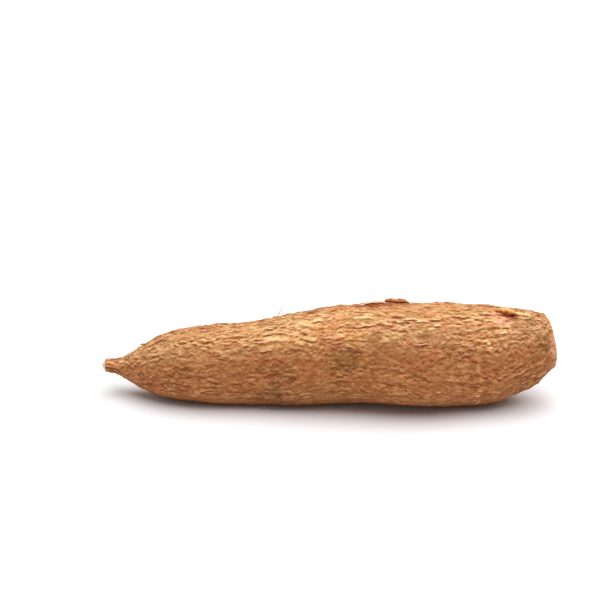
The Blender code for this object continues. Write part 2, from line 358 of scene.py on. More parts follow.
class GeometryTree(Wiring):
    """A geometry tree with named inputs, which is run on an object and leaves a plain mesh."""

    KINDS = {
        float: "NodeSocketFloat",
        int: "NodeSocketInt",
        Material: "NodeSocketMaterial",
        bpy.types.Collection: "NodeSocketCollection",
    }

    def __init__(self, name: str, values: dict[str, object]) -> None:
        """Makes the tree and its sockets.

        Args:
            name: The tree's name.
            values: The named inputs and what each is set to.
        """
        super().__init__(bpy.data.node_groups.new(name, "GeometryNodeTree"))
        self.values = values
        sockets = self.tree.interface
        sockets.new_socket(name="Geometry", in_out="INPUT", socket_type="NodeSocketGeometry")
        sockets.new_socket(name="Geometry", in_out="OUTPUT", socket_type="NodeSocketGeometry")
        for label, value in values.items():
            kind = next(socket for base, socket in self.KINDS.items() if isinstance(value, base))
            sockets.new_socket(name=label, in_out="INPUT", socket_type=kind)
        self.inputs = self.node("NodeGroupInput").outputs
        self.result = self.node("NodeGroupOutput").inputs[0]

    def attribute(self, name: str, kind: str = "FLOAT") -> Socket:
        """Reads one of the mesh's own attributes."""
        return self.fed("GeometryNodeInputNamedAttribute", {"Name": name}, data_type=kind).outputs[0]

    def stored(self, geometry: Socket, name: str, value: Socket, domain: str = "POINT") -> Socket:
        """Keeps a number on the geometry for its material to read.

        Args:
            geometry: The geometry.
            name: The attribute's name.
            value: The number.
            domain: Whether it is kept on each point or on each instance.

        Returns:
            The geometry with it.
        """
        sources = {"Geometry": geometry, "Name": name, "Value": value}
        made = self.fed("GeometryNodeStoreNamedAttribute", sources, data_type="FLOAT", domain=domain)
        return made.outputs[0]

    def random(self, kind: str, low: object, high: object, seed: int) -> Socket:
        """Draws a value for each point.

        Args:
            kind: Blender's name for the kind of value.
            low: The lowest.
            high: The highest.
            seed: Which draw it is.

        Returns:
            The value's socket.
        """
        made = self.node("FunctionNodeRandomValue", data_type=kind)
        shown = {socket.name: socket for socket in made.inputs if socket.enabled}
        shown["Min"].default_value = low
        shown["Max"].default_value = high
        shown["Seed"].default_value = seed
        return next(socket for socket in made.outputs if socket.enabled)

    def moved(self, geometry: Socket, offset: Socket) -> Socket:
        """Moves each point by the offset."""
        return self.fed("GeometryNodeSetPosition", {"Geometry": geometry, "Offset": offset}).outputs[0]

    def finish(self, geometry: Socket) -> None:
        """Ends the tree: instances are made real and the material is set."""
        real = self.fed("GeometryNodeRealizeInstances", {0: geometry}).outputs[0]
        sources = {"Geometry": real, "Material": self.inputs["Material"]}
        self.feed(self.result, self.fed("GeometryNodeSetMaterial", sources).outputs[0])

    def run(self, piece: Piece) -> None:
        """Runs the tree on an object and gives it the mesh that comes out.

        Args:
            piece: The object whose mesh goes in.
        """
        modifier = piece.modifiers.new(self.tree.name, "NODES")
        modifier.node_group = self.tree
        for item in self.tree.interface.items_tree:
            if item.in_out == "INPUT" and item.name in self.values:
                modifier[item.identifier] = self.values[item.name]
        graph = bpy.context.evaluated_depsgraph_get()
        made = bpy.data.meshes.new_from_object(piece.evaluated_get(graph))
        piece.modifiers.clear()
        piece.data = made


def piece_from(
    name: str,
    points: Array,
    faces: list[tuple[int, ...]],
    material: Material | None = None,
) -> Piece:
    """Makes an object from points and faces.

    Args:
        name: The object's name.
        points: One row for each point, in metres.
        faces: The points of each face, in order.
        material: The finish, if it is set here.

    Returns:
        The object, linked to the scene.
    """
    mesh = bpy.data.meshes.new(name)
    mesh.from_pydata(points.reshape(-1, 3).tolist(), [], faces)
    mesh.polygons.foreach_set("use_smooth", [True] * len(mesh.polygons))
    mesh.update()
    if material:
        mesh.materials.append(material)
    piece = bpy.data.objects.new(name, mesh)
    bpy.context.scene.collection.objects.link(piece)
    return piece


def keep_attribute(piece: Piece, name: str, values: Array) -> None:
    """Keeps numbers, vectors or colours on the points of a mesh.

    Args:
        piece: The object.
        name: The attribute's name.
        values: One row for each point, of one, three or four numbers.
    """
    rows = values.reshape(len(piece.data.vertices), -1)
    kind, key = {1: ("FLOAT", "value"), 3: ("FLOAT_VECTOR", "vector"), 4: ("FLOAT_COLOR", "color")}[
        rows.shape[1]
    ]
    made = piece.data.attributes.new(name, kind, "POINT")
    made.data.foreach_set(key, rows.astype(np.float32).ravel())


def turn_outwards(piece: Piece) -> None:
    """Makes the faces of a closed mesh point outwards."""
    mesh = bmesh.new()
    mesh.from_mesh(piece.data)
    bmesh.ops.recalc_face_normals(mesh, faces=mesh.faces)
    mesh.to_mesh(piece.data)
    mesh.free()


def grid_faces(rows: int, columns: int, closed: bool = False, start: int = 0) -> list[tuple[int, ...]]:
    """Lists the four-sided faces of a grid of points.

    Args:
        rows: How many rows of points it has.
        columns: How many points a row has.
        closed: Whether each row closes on itself.
        start: The number of its first point.

    Returns:
        The points of each face.
    """
    faces = []
    for i in range(rows - 1):
        for j in range(columns if closed else columns - 1):
            a, b = start + i * columns + j, start + i * columns + (j + 1) % columns
            faces.append((a, b, b + columns, a + columns))
    return faces


def shell_faces(rows: int, columns: int) -> list[tuple[int, ...]]:
    """Lists the faces of a thin shell: a grid of points, the same grid below it and the edge between.

    Args:
        rows: How many rows of points each grid has.
        columns: How many points a row has.

    Returns:
        The points of each face.
    """
    count = rows * columns
    faces = grid_faces(rows, columns)
    faces += [tuple(count + k for k in reversed(face)) for face in grid_faces(rows, columns)]
    edge = list(range(columns))
    edge += [i * columns + columns - 1 for i in range(1, rows)]
    edge += [(rows - 1) * columns + j for j in range(columns - 2, -1, -1)]
    edge += [i * columns for i in range(rows - 2, 0, -1)]
    faces += [(b, a, a + count, b + count) for a, b in zip(edge, edge[1:] + edge[:1])]
    return faces


def closed_piece(name: str, rows: list[Array], material: Material | None = None) -> Piece:
    """Makes a closed piece from rings of points, with a point in the middle of each end.

    Args:
        name: The object's name.
        rows: The rings, from one end to the other, all with the same number of points.
        material: The finish, if it is set here.

    Returns:
        The object. The middle points of its first and last rings come last.
    """
    sides = len(rows[0])
    points = np.concatenate([*rows, [rows[0].mean(axis=0), rows[-1].mean(axis=0)]])
    faces = grid_faces(len(rows), sides, closed=True)
    count, last = len(rows) * sides, (len(rows) - 1) * sides
    for j in range(sides):
        k = (j + 1) % sides
        faces.append((k, j, count))
        faces.append((last + j, last + k, count + 1))
    piece = piece_from(name, points, faces, material)
    turn_outwards(piece)
    return piece


@dataclass
class RootForm:
    """The large form of the root, read from its solid, which every piece is set out on."""

    tail_cone: float = 0.0026
    worn_back: float = 0.0033
    worn_length: float = 0.0090
    worn_from: float = -0.4
    reach: float = 0.08
    stations: int = 280
    bearings: int = 180
    slice_half: float = 0.006
    axis_blur: float = 5.0
    recentring_blur: float = 4.0
    recentrings: int = 2
    margin: float = 0.0006
    soft_until: float = 0.045
    sharp_from: float = 0.030
    fuller: float = 0.0017
    full_at: float = 0.2645
    full_length: float = 0.0135
    full_side: float = -70.0
    spread_along: float = 3.2
    spread_near_cut: float = 1.0
    spread_around: float = 2.6
    length: float = field(init=False)
    tail_x: float = field(init=False)

    def __post_init__(self) -> None:
        """Reads the axis and the radius all over the solid."""
        low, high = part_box(NODE)
        self.tail_x = low.x + self.tail_cone
        self.length = high.x - self.tail_x
        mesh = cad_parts[NODE].data
        points = [vertex.co.copy() for vertex in mesh.vertices]
        tree = BVHTree.FromPolygons(points, [tuple(face.vertices) for face in mesh.polygons])
        self._along = np.linspace(0.0, self.length, self.stations)
        self._around = np.radians(np.arange(self.bearings) * 360 / self.bearings)
        self._axis = self._first_axis(np.array(points))
        self._radius = np.zeros((self.stations, self.bearings))
        for _ in range(self.recentrings):
            self._radius = self._cast(tree)
            self._recentre()
        self._radius = self._cast(tree)
        self._mean = self._radius.mean(axis=1)
        uneven = blurred(self._radius - self._mean[:, None], self.spread_around, 1, True)
        cut_at = self.length - self.soft_until, self.length - self.sharp_from
        near_cut = smooth_step(*cut_at, self._along)[:, None]
        soft = blurred(uneven, self.spread_along, 0, False)
        sharp = blurred(uneven, self.spread_near_cut, 0, False)
        self._radius = self._mean[:, None] + soft * (1 - near_cut) + sharp * near_cut
        self._radius += self._fullness()
        steps = np.hypot(np.diff(self._along), np.diff(self._mean))
        self._walked = np.concatenate([[0.0], np.cumsum(steps)])

    def _fullness(self) -> Array:
        """How much fuller the root is below the stem end than its faceted solid."""
        near = np.exp(-(((self._along - self.full_at) / self.full_length) ** 2))
        side = np.maximum(np.cos(self._around - math.radians(self.full_side)), 0.0) ** 2
        return self.fuller * near[:, None] * side

    def _first_axis(self, points: Array) -> Array:
        """Guesses the middle of the root at each station from the points near it."""
        middles = []
        for x in self.tail_x + self._along:
            near = points[np.abs(points[:, 0] - x) < self.slice_half]
            middles.append((near[:, 1:].min(axis=0) + near[:, 1:].max(axis=0)) / 2)
        return blurred(np.array(middles), self.axis_blur, 0, False)

    def _cast(self, tree: BVHTree) -> Array:
        """Measures the solid's surface from the axis at every station and bearing, looking in from outside.

        Args:
            tree: The solid's faces.

        Returns:
            The distances, one row for each station.
        """
        inside = np.clip(self._along, self.margin, self.length - self.margin)
        radius = np.zeros((self.stations, self.bearings))
        for i, along in enumerate(inside):
            for j, around in enumerate(self._around):
                side = Vector((0.0, -math.cos(around), math.sin(around)))
                x = self.tail_x + along - float(self._set_back(along, around))
                middle = Vector((x, *self._axis[i]))
                hit = tree.ray_cast(middle + self.reach * side, -side, self.reach)
                radius[i, j] = self.reach - hit[3] if hit[3] else radius[i - 1, j]
        return radius

    def _recentre(self) -> None:
        """Moves the axis to the middle of what was measured round it."""
        shift_y = (-self._radius * np.cos(self._around)).mean(axis=1)
        shift_z = (self._radius * np.sin(self._around)).mean(axis=1)
        shift = np.stack([shift_y, shift_z], axis=1)
        self._axis = self._axis + blurred(shift, self.recentring_blur, 0, False)

    def _set_back(self, along: Array | float, around: Array | float) -> Array:
        """How far a place stands back towards the tail, where the upper edge of the stem end is worn.

        Args:
            along: Distances along the root.
            around: Angles round it, in radians.

        Returns:
            The distance for each place.
        """
        upwards = np.maximum((np.sin(around) - self.worn_from) / (1 - self.worn_from), 0.0)
        near_cut = smooth_step(self.length - self.worn_length, self.length, along)
        return self.worn_back * upwards**2 * near_cut

    def walked(self, along: Array | float) -> Array:
        """Distance along the bark from the tail's rim."""
        return np.interp(along, self._along, self._walked)

    def along_at(self, walked: Array | float) -> Array:
        """The distance along the root for a distance along the bark."""
        return np.interp(walked, self._walked, self._along)

    def girth(self, along: Array | float) -> Array:
        """The mean radius at this distance along the root."""
        return np.interp(along, self._along, self._mean)

    def radius(self, along: Array, around: Array) -> Array:
        """Reads the radius between the places where it was measured.

        Args:
            along: Distances along the root.
            around: Angles round it, in radians.

        Returns:
            The radius at each place.
        """
        row = np.clip(along / self.length, 0, 1) * (self.stations - 1)
        column = (around / (2 * math.pi)) % 1.0 * self.bearings
        i = np.minimum(row.astype(int), self.stations - 2)
        j = column.astype(int) % self.bearings
        t, u = row - i, column - np.floor(column)
        k = (j + 1) % self.bearings
        low = self._radius[i, j] * (1 - u) + self._radius[i, k] * u
        high = self._radius[i + 1, j] * (1 - u) + self._radius[i + 1, k] * u
        return low * (1 - t) + high * t

    def points(self, along: Array, around: Array, above: Array | float = 0.0) -> Array:
        """Finds places on the bark, or this far above it.

        Args:
            along: Distances along the root.
            around: Angles round it, in radians.
            above: Height above the bark.

        Returns:
            The places, with x, y and z last.
        """
        along, around = np.broadcast_arrays(np.asarray(along, float), np.asarray(around, float))
        reach = self.radius(along, around) + above
        middle_y = np.interp(along, self._along, self._axis[:, 0])
        middle_z = np.interp(along, self._along, self._axis[:, 1])
        x = self.tail_x + along - self._set_back(along, around)
        y = middle_y - reach * np.cos(around)
        z = middle_z + reach * np.sin(around)
        return np.stack([x, y, np.maximum(z, 0.0)], axis=-1)


class Worn(Enum):
    """What a mark does to the bark's colour: the share of red, green and blue that it leaves. Most are
    stains and wear, and some paint light and shade, as noted beside them.
    """

    PALE = (1.10, 1.20, 1.30)
    # lighter bark, and painted light on the left of the top, which the lamp from the right leaves darker
    LIGHT = (1.24, 1.22, 1.20)
    REDDISH = (0.92, 0.76, 0.66)
    OLIVE = (0.78, 0.82, 0.74)
    # duller bark, and painted shade on the underside, near the stem end and on parts of the top
    DULL_AND_SHADED = (0.80, 0.76, 0.74)
    GREY = (0.78, 0.84, 0.90)
    GOLDEN = (1.05, 1.06, 0.80)
    YELLOW = (1.30, 1.60, 1.62)
    SCAR = (1.50, 1.75, 1.85)
    RED_SPOT = (0.80, 0.50, 0.40)
    # painted shadow under the rolled flap
    SHADED = (0.55, 0.20, 0.10)
    # painted shadow under the top flake and the top roll, and one rust-brown spot
    RUST_AND_SHADOW = (0.50, 0.22, 0.06)
    FADED = (1.02, 1.06, 1.14)


@dataclass(frozen=True)
class Stain:
    """A place where the bark has another colour."""

    along: float
    around: float
    length: float
    width: float
    worn: Worn
    strength: float


@dataclass(frozen=True)
class Bare:
    """A place where the outer bark has come off and the pink inner bark shows."""

    along: float
    around: float
    length: float
    width: float
    raggedness: float = 0.5


@dataclass(frozen=True)
class Ring:
    """A thin pale raised line round part of the root, with the bark drawn in beside it."""

    along: float
    around: float
    spread: float
    height: float = 0.00025
    width: float = 0.0007
    pale: float = 0.8


@dataclass(frozen=True)
class Knob:
    """A small raised scar."""

    along: float
    around: float
    size: float
    height: float


@dataclass(frozen=True)
class Ledge:
    """A plate of bark that stands out, with a loose lower edge and a dark gap below it: a shallow dent with
    painted shadow.
    """

    along: float
    around: float
    length: float
    width: float
    slant: float
    pale: float
    dark: float

    ENDS = (1.25, 0.75)
    ROOTED = (-1.15, -0.55)
    LIP = (0.0003, -0.0002)
    GAP_AT = 0.00050
    GAP_WIDTH = 0.00070
    WAVE = 0.00022
    WAVE_LENGTH = 0.00090
    RIPPLE = 0.00008
    RIPPLE_LENGTH = 0.00035
    SHIFT = 900

    def place(self, along: Array, down: Array) -> tuple[Array, Array]:
        """Works out how far each point is on the plate, and how far in the gap below it.

        Args:
            along: Distance along the root of each point.
            down: Distance of each point down the bark from the middle of the lower edge.

        Returns:
            The share of the plate and the share of the gap, 0 to 1.
        """
        below = down - self.edge(along)
        ends = smooth_step(*self.ENDS, np.abs(along - self.along) / (self.length / 2))
        plate = ends * smooth_step(*self.ROOTED, below / self.width) * smooth_step(*self.LIP, below)
        return plate, ends * np.exp(-(((below - self.GAP_AT) / self.GAP_WIDTH) ** 2))

    def edge(self, along: Array) -> Array:
        """How far down the bark the wavy lower edge lies, at each distance along the root."""
        wave = self.WAVE * np.sin(along / self.WAVE_LENGTH + self.SHIFT * self.along)
        wander = wave + self.RIPPLE * np.sin(along / self.RIPPLE_LENGTH)
        return self.slant * (along - self.along) / (self.length / 2) + wander


@dataclass(frozen=True)
class Plate:
    """A plate as the photo shows it: the ends of its lower edge, as columns and rows in pixels."""

    left: float
    left_row: float
    right: float
    right_row: float
    height: float
    pale: float
    dark: float


@dataclass(frozen=True)
class Spot:
    """A small mark as the photo shows it: its column and row in pixels, and its real size."""

    column: float
    row: float
    length: float
    width: float
    worn: Worn
    strength: float
    raised: float = 0.0


@dataclass(frozen=True)
class BarkMarks:
    """Every mark on the bark, set out on the root."""

    ledges: tuple[Ledge, ...]
    stains: tuple[Stain, ...]
    knobs: tuple[Knob, ...]


@dataclass(frozen=True)
class Sight:
    """The photo's view of the root."""

    elevation: float = 20.0
    distance: float = 1.017
    lens: float = 100.0
    sensor: float = 36.0
    aim: tuple[float, float, float] = (-0.016, 0.0025, 0.0667)
    pixels: int = 600

    def seen_at(self, points: Array) -> tuple[Array, Array]:
        """Works out where points are in the photo.

        Args:
            points: The points, with x, y and z last.

        Returns:
            The column and the row of each, in pixels.
        """
        tilt = math.radians(self.elevation)
        ahead = np.array([0.0, math.cos(tilt), -math.sin(tilt)])
        upwards = np.array([0.0, math.sin(tilt), math.cos(tilt)])
        away = points - np.array(self.aim) + self.distance * ahead
        scale = self.lens / self.sensor * self.pixels / (away @ ahead)
        return self.pixels / 2 + away[..., 0] * scale, self.pixels / 2 - (away @ upwards) * scale


@dataclass
class SeenBark:
    """The bark that the photo shows, on which places in the photo are found."""

    form: RootForm
    sight: Sight = Sight()
    first: float = 0.08
    low_side: float = -60.0
    high_side: float = 104.0
    knob_share: float = 0.34
    short_of_cut: float = 0.001
    places_along: int = 800
    degrees_apart: float = 0.5

    def __post_init__(self) -> None:
        """Sets out the bark closely and notes where each point of it is in the photo."""
        along = np.linspace(self.first, self.form.length - self.short_of_cut, self.places_along)
        around = np.radians(np.arange(self.low_side, self.high_side, self.degrees_apart))
        self._along, self._around = np.meshgrid(along, around, indexing="ij")
        self._column, self._row = self.sight.seen_at(self.form.points(self._along, self._around))

    def find(self, column: float, row: float) -> tuple[float, float]:
        """Finds the bark at a place in the photo.

        Args:
            column: The place's column, in pixels.
            row: Its row.

        Returns:
            The distance along the root and the angle round it.
        """
        nearest = np.argmin(np.hypot(self._column - column, self._row - row))
        return float(self._along.flat[nearest]), math.degrees(self._around.flat[nearest])

    def marks(self) -> BarkMarks:
        """Sets out the marks that the photo shows, with those of the other sides."""
        spots = [(self.find(spot.column, spot.row), spot) for spot in SEEN_SPOTS]
        stains = [Stain(*place, spot.length, spot.width, spot.worn, spot.strength) for place, spot in spots]
        knobs = [
            Knob(*place, self.knob_share * spot.length, spot.raised) for place, spot in spots if spot.raised
        ]
        ledges = tuple(self.ledge(plate) for plate in SEEN_PLATES)
        return BarkMarks(ledges, STAINS + tuple(stains), KNOBS + tuple(knobs))

    def ledge(self, plate: Plate) -> Ledge:
        """Sets out a plate of the photo on the root.

        Args:
            plate: The plate as the photo shows it.

        Returns:
            The plate in the root's own sizes.
        """
        start, start_around = self.find(plate.left, plate.left_row)
        end, end_around = self.find(plate.right, plate.right_row)
        along, around = (start + end) / 2, (start_around + end_around) / 2
        girth = float(self.form.girth(along))
        middle_row = (plate.left_row + plate.right_row) / 2
        top = self.find((plate.left + plate.right) / 2, middle_row - plate.height)[1]
        width = math.radians(top - around) * girth
        slant = math.radians(start_around - end_around) / 2 * girth
        return Ledge(along, around, end - start, width, slant, plate.pale, plate.dark)


# Marks in the root's own measures: metres along it and degrees round it.
BARE_PLACES = (
    Bare(0.2462, 72.0, 0.015, 0.014, 0.5),
    Bare(0.2782, 16.0, 0.009, 0.015, 0.3),
)
RINGS = (
    Ring(0.1115, -15.0, 42.0, 0.0003, 0.0008, 1.4),
    Ring(0.134, -2.0, 14.0, 0.00015),
    Ring(0.23, -8.0, 46.0, 0.00034, 0.0011, 2.2),
    Ring(0.18, 150.0, 55.0),
    Ring(0.064, 60.0, 70.0, 0.00018, 0.0007, 0.4),
    Ring(0.03, 200.0, 80.0),
    Ring(0.148, 195.0, 40.0),
    Ring(0.218, 205.0, 50.0),
)
KNOBS = (
    Knob(0.118, 34.0, 0.0014, 0.0004),
    Knob(0.082, 128.0, 0.0016, 0.0005),
    Knob(0.156, 176.0, 0.0015, 0.0005),
    Knob(0.212, 140.0, 0.0016, 0.0005),
    Knob(0.052, 20.0, 0.0013, 0.0004),
    Knob(0.203, 215.0, 0.0015, 0.0005),
)
# Marks by their places in the photo: columns and rows in pixels.
SEEN_PLATES = (
    Plate(263.6, 329.4, 273.6, 329.0, 3.0, 0.6, 1.0),
    Plate(273.6, 327.6, 277.9, 327.2, 2.0, 0.2, 0.7),
    Plate(263.6, 336.0, 275.0, 333.0, 2.0, 0.3, 0.8),
    Plate(275.0, 333.0, 289.0, 334.5, 2.5, 0.5, 0.8),
    Plate(266.0, 341.5, 289.5, 341.0, 5.5, 1.0, 0.3),
    Plate(251.5, 343.2, 266.5, 342.8, 2.0, 0.5, 0.6),
    Plate(259.5, 352.2, 271.5, 350.4, 6.0, 0.9, 1.0),
    Plate(312.5, 321.9, 324.5, 321.7, 4.0, 1.0, 1.0),
    Plate(299.0, 325.5, 310.5, 326.6, 6.0, 0.7, 0.6),
    Plate(302.3, 333.0, 307.0, 333.4, 2.0, 0.2, 1.0),
    Plate(304.0, 340.0, 317.0, 341.6, 4.0, 0.9, 1.0),
    Plate(321.5, 338.4, 335.7, 339.0, 2.6, 0.8, 0.8),
    Plate(331.8, 318.2, 335.9, 318.0, 2.0, 0.2, 0.7),
    Plate(335.5, 329.0, 343.6, 325.4, 2.0, 0.4, 0.7),
    Plate(338.0, 332.0, 343.2, 331.5, 2.0, 0.5, 0.8),
    Plate(340.5, 336.6, 345.5, 337.2, 3.5, 0.8, 0.6),
    Plate(280.0, 327.6, 285.9, 327.3, 2.5, 0.3, 0.7),
    Plate(288.4, 329.4, 293.8, 329.2, 2.0, 0.3, 0.6),
    Plate(297.0, 329.8, 301.6, 329.5, 2.0, 0.3, 0.6),
    Plate(353.0, 318.8, 373.0, 318.2, 4.6, 0.9, 0.4),
    Plate(352.8, 312.4, 371.6, 312.2, 2.0, 0.2, 0.6),
    Plate(356.8, 327.5, 376.8, 325.4, 3.0, 0.7, 1.1),
    Plate(360.5, 334.2, 373.0, 333.4, 5.0, 0.6, 0.1),
    Plate(372.5, 333.4, 381.0, 331.0, 2.0, 0.3, 0.8),
    Plate(357.8, 340.4, 369.0, 340.8, 2.0, 0.6, 0.5),
    Plate(381.5, 342.2, 389.5, 342.6, 5.0, 0.8, 0.7),
    Plate(391.5, 339.0, 402.0, 338.0, 3.5, 0.7, 0.3),
    Plate(402.5, 320.0, 420.0, 319.8, 3.0, 0.8, 0.8),
    Plate(416.0, 321.8, 429.5, 322.2, 4.0, 1.0, 0.7),
    Plate(429.5, 320.1, 441.0, 320.3, 2.5, 0.6, 1.0),
    Plate(433.0, 326.4, 441.5, 326.8, 4.0, 1.0, 1.0),
    Plate(406.0, 310.7, 412.4, 310.5, 2.0, 0.2, 0.7),
    Plate(413.6, 346.2, 429.0, 344.6, 3.0, 0.5, 1.0),
    Plate(344.5, 346.5, 356.0, 348.9, 3.5, 0.6, 0.8),
    Plate(455.6, 323.8, 461.6, 323.9, 2.0, 0.3, 0.9),
    Plate(464.0, 331.2, 473.5, 331.6, 2.4, 0.8, 0.5),
    Plate(476.8, 325.2, 481.8, 324.6, 2.0, 0.3, 0.9),
    Plate(485.4, 321.8, 493.0, 321.2, 3.0, 0.6, 0.6),
    Plate(452.5, 333.4, 460.5, 332.8, 2.0, 0.3, 0.7),
    Plate(460.2, 345.6, 469.0, 346.8, 2.5, 0.4, 1.0),
    Plate(440.3, 344.6, 446.0, 343.4, 3.5, 0.6, 0.7),
    Plate(496.5, 333.6, 509.5, 333.2, 3.5, 0.8, 0.4),
    Plate(500.8, 328.0, 509.8, 327.6, 2.0, 0.2, 0.8),
    Plate(509.3, 333.6, 519.8, 333.0, 3.0, 0.8, 0.4),
    Plate(512.0, 338.9, 525.0, 338.7, 2.0, 0.3, 0.5),
    Plate(330.5, 367.0, 336.6, 367.2, 3.0, 0.3, 0.8),
    Plate(349.5, 377.6, 355.0, 377.4, 2.0, 0.6, 0.3),
    Plate(377.0, 378.0, 391.5, 376.4, 3.0, 0.8, 0.2),
    Plate(377.0, 382.3, 389.0, 381.4, 2.5, 0.2, 0.6),
    Plate(389.0, 381.9, 407.0, 381.8, 4.0, 0.7, 0.5),
    Plate(391.0, 368.8, 399.0, 369.6, 3.0, 0.7, 0.3),
    Plate(394.0, 364.6, 399.0, 364.8, 2.0, 0.2, 0.6),
    Plate(339.0, 389.0, 351.5, 390.2, 2.6, 0.7, 0.3),
    Plate(327.5, 386.8, 337.5, 387.2, 2.4, 0.5, 0.3),
    Plate(374.0, 388.6, 381.0, 389.4, 3.0, 0.7, 0.7),
    Plate(391.4, 395.0, 408.0, 395.2, 2.6, 0.7, 0.7),
    Plate(400.0, 400.2, 408.0, 400.6, 4.0, 0.6, 0.6),
    Plate(269.8, 370.2, 278.0, 369.6, 2.0, 0.5, 0.5),
    Plate(281.8, 398.4, 288.0, 398.0, 2.6, 0.6, 0.3),
    Plate(416.5, 380.0, 423.5, 379.6, 2.0, 0.6, 0.3),
    Plate(467.0, 383.0, 477.5, 383.4, 2.4, 0.4, 0.6),
    Plate(480.5, 388.6, 488.5, 388.6, 2.6, 0.8, 0.6),
    Plate(491.5, 383.2, 498.0, 383.2, 3.0, 0.8, 0.4),
    Plate(430.5, 401.0, 437.5, 401.0, 2.4, 0.1, 0.6),
    Plate(441.5, 400.9, 447.5, 400.8, 2.4, 0.1, 0.6),
    Plate(419.5, 385.2, 426.5, 385.2, 2.2, 0.5, 0.3),
    Plate(530.5, 372.8, 537.0, 372.4, 2.2, 0.3, 0.6),
)
SEEN_SPOTS = (
    Spot(346.0, 362.0, 0.017, 0.02, Worn.OLIVE, 0.95),
    Spot(487.5, 343.3, 0.0062, 0.0046, Worn.YELLOW, 1.0, 0.0009),
    Spot(462.4, 341.4, 0.0034, 0.0034, Worn.SCAR, 1.0, 0.0006),
    Spot(491.3, 350.4, 0.0044, 0.0036, Worn.SCAR, 1.0, 0.0007),
    Spot(479.6, 349.6, 0.0044, 0.0036, Worn.SCAR, 1.0, 0.0007),
    Spot(468.0, 346.5, 0.004, 0.0032, Worn.SCAR, 0.9, 0.0005),
    Spot(465.0, 354.0, 0.0036, 0.003, Worn.SCAR, 0.5, 0.0004),
    Spot(361.0, 362.5, 0.0034, 0.003, Worn.SCAR, 0.8, 0.0004),
    Spot(385.3, 339.0, 0.0034, 0.003, Worn.SCAR, 0.5, 0.0004),
    Spot(404.0, 347.4, 0.004, 0.0036, Worn.LIGHT, 0.4, 0.0004),
    Spot(330.7, 358.6, 0.003, 0.0026, Worn.PALE, 0.8, 0.0003),
    Spot(335.4, 362.9, 0.0026, 0.0024, Worn.PALE, 0.7, 0.0003),
    Spot(329.0, 361.0, 0.0066, 0.0064, Worn.PALE, 0.5),
    Spot(479.0, 336.8, 0.01, 0.0034, Worn.PALE, 0.9),
    Spot(490.5, 340.0, 0.007, 0.0034, Worn.PALE, 0.9),
    Spot(482.0, 343.9, 0.0044, 0.003, Worn.RED_SPOT, 0.9),
    Spot(494.0, 344.0, 0.0044, 0.0028, Worn.RED_SPOT, 0.9),
    Spot(403.5, 367.5, 0.0024, 0.0018, Worn.RED_SPOT, 0.6),
    Spot(410.5, 389.5, 0.0024, 0.0018, Worn.RED_SPOT, 0.6),
    Spot(312.0, 383.0, 0.01, 0.0026, Worn.RED_SPOT, 0.4),
    Spot(434.0, 401.0, 0.006, 0.0026, Worn.RED_SPOT, 0.5),
    Spot(447.0, 401.5, 0.005, 0.0024, Worn.RED_SPOT, 0.5),
    Spot(330.0, 350.0, 0.012, 0.0044, Worn.REDDISH, 0.95),
    Spot(271.0, 375.5, 0.011, 0.0034, Worn.REDDISH, 0.9),
    Spot(473.0, 376.0, 0.005, 0.005, Worn.REDDISH, 0.7),
    Spot(498.5, 384.5, 0.005, 0.0034, Worn.REDDISH, 0.8),
    Spot(534.5, 372.5, 0.004, 0.0026, Worn.REDDISH, 0.9),
    Spot(537.0, 369.5, 0.006, 0.004, Worn.GREY, 0.8),
    # painted shadow under the rolled flap
    Spot(505.0, 314.5, 0.008, 0.0056, Worn.SHADED, 1.0),
    Spot(510.0, 316.3, 0.008, 0.0066, Worn.SHADED, 1.0),
    Spot(514.0, 317.5, 0.006, 0.005, Worn.SHADED, 1.0),
    # painted shadow under the top flake
    Spot(370.5, 305.6, 0.018, 0.008, Worn.RUST_AND_SHADOW, 1.0),
    Spot(510.0, 355.6, 0.003, 0.0026, Worn.RUST_AND_SHADOW, 0.8),
    Spot(549.0, 330.0, 0.007, 0.008, Worn.GOLDEN, 0.8),
)
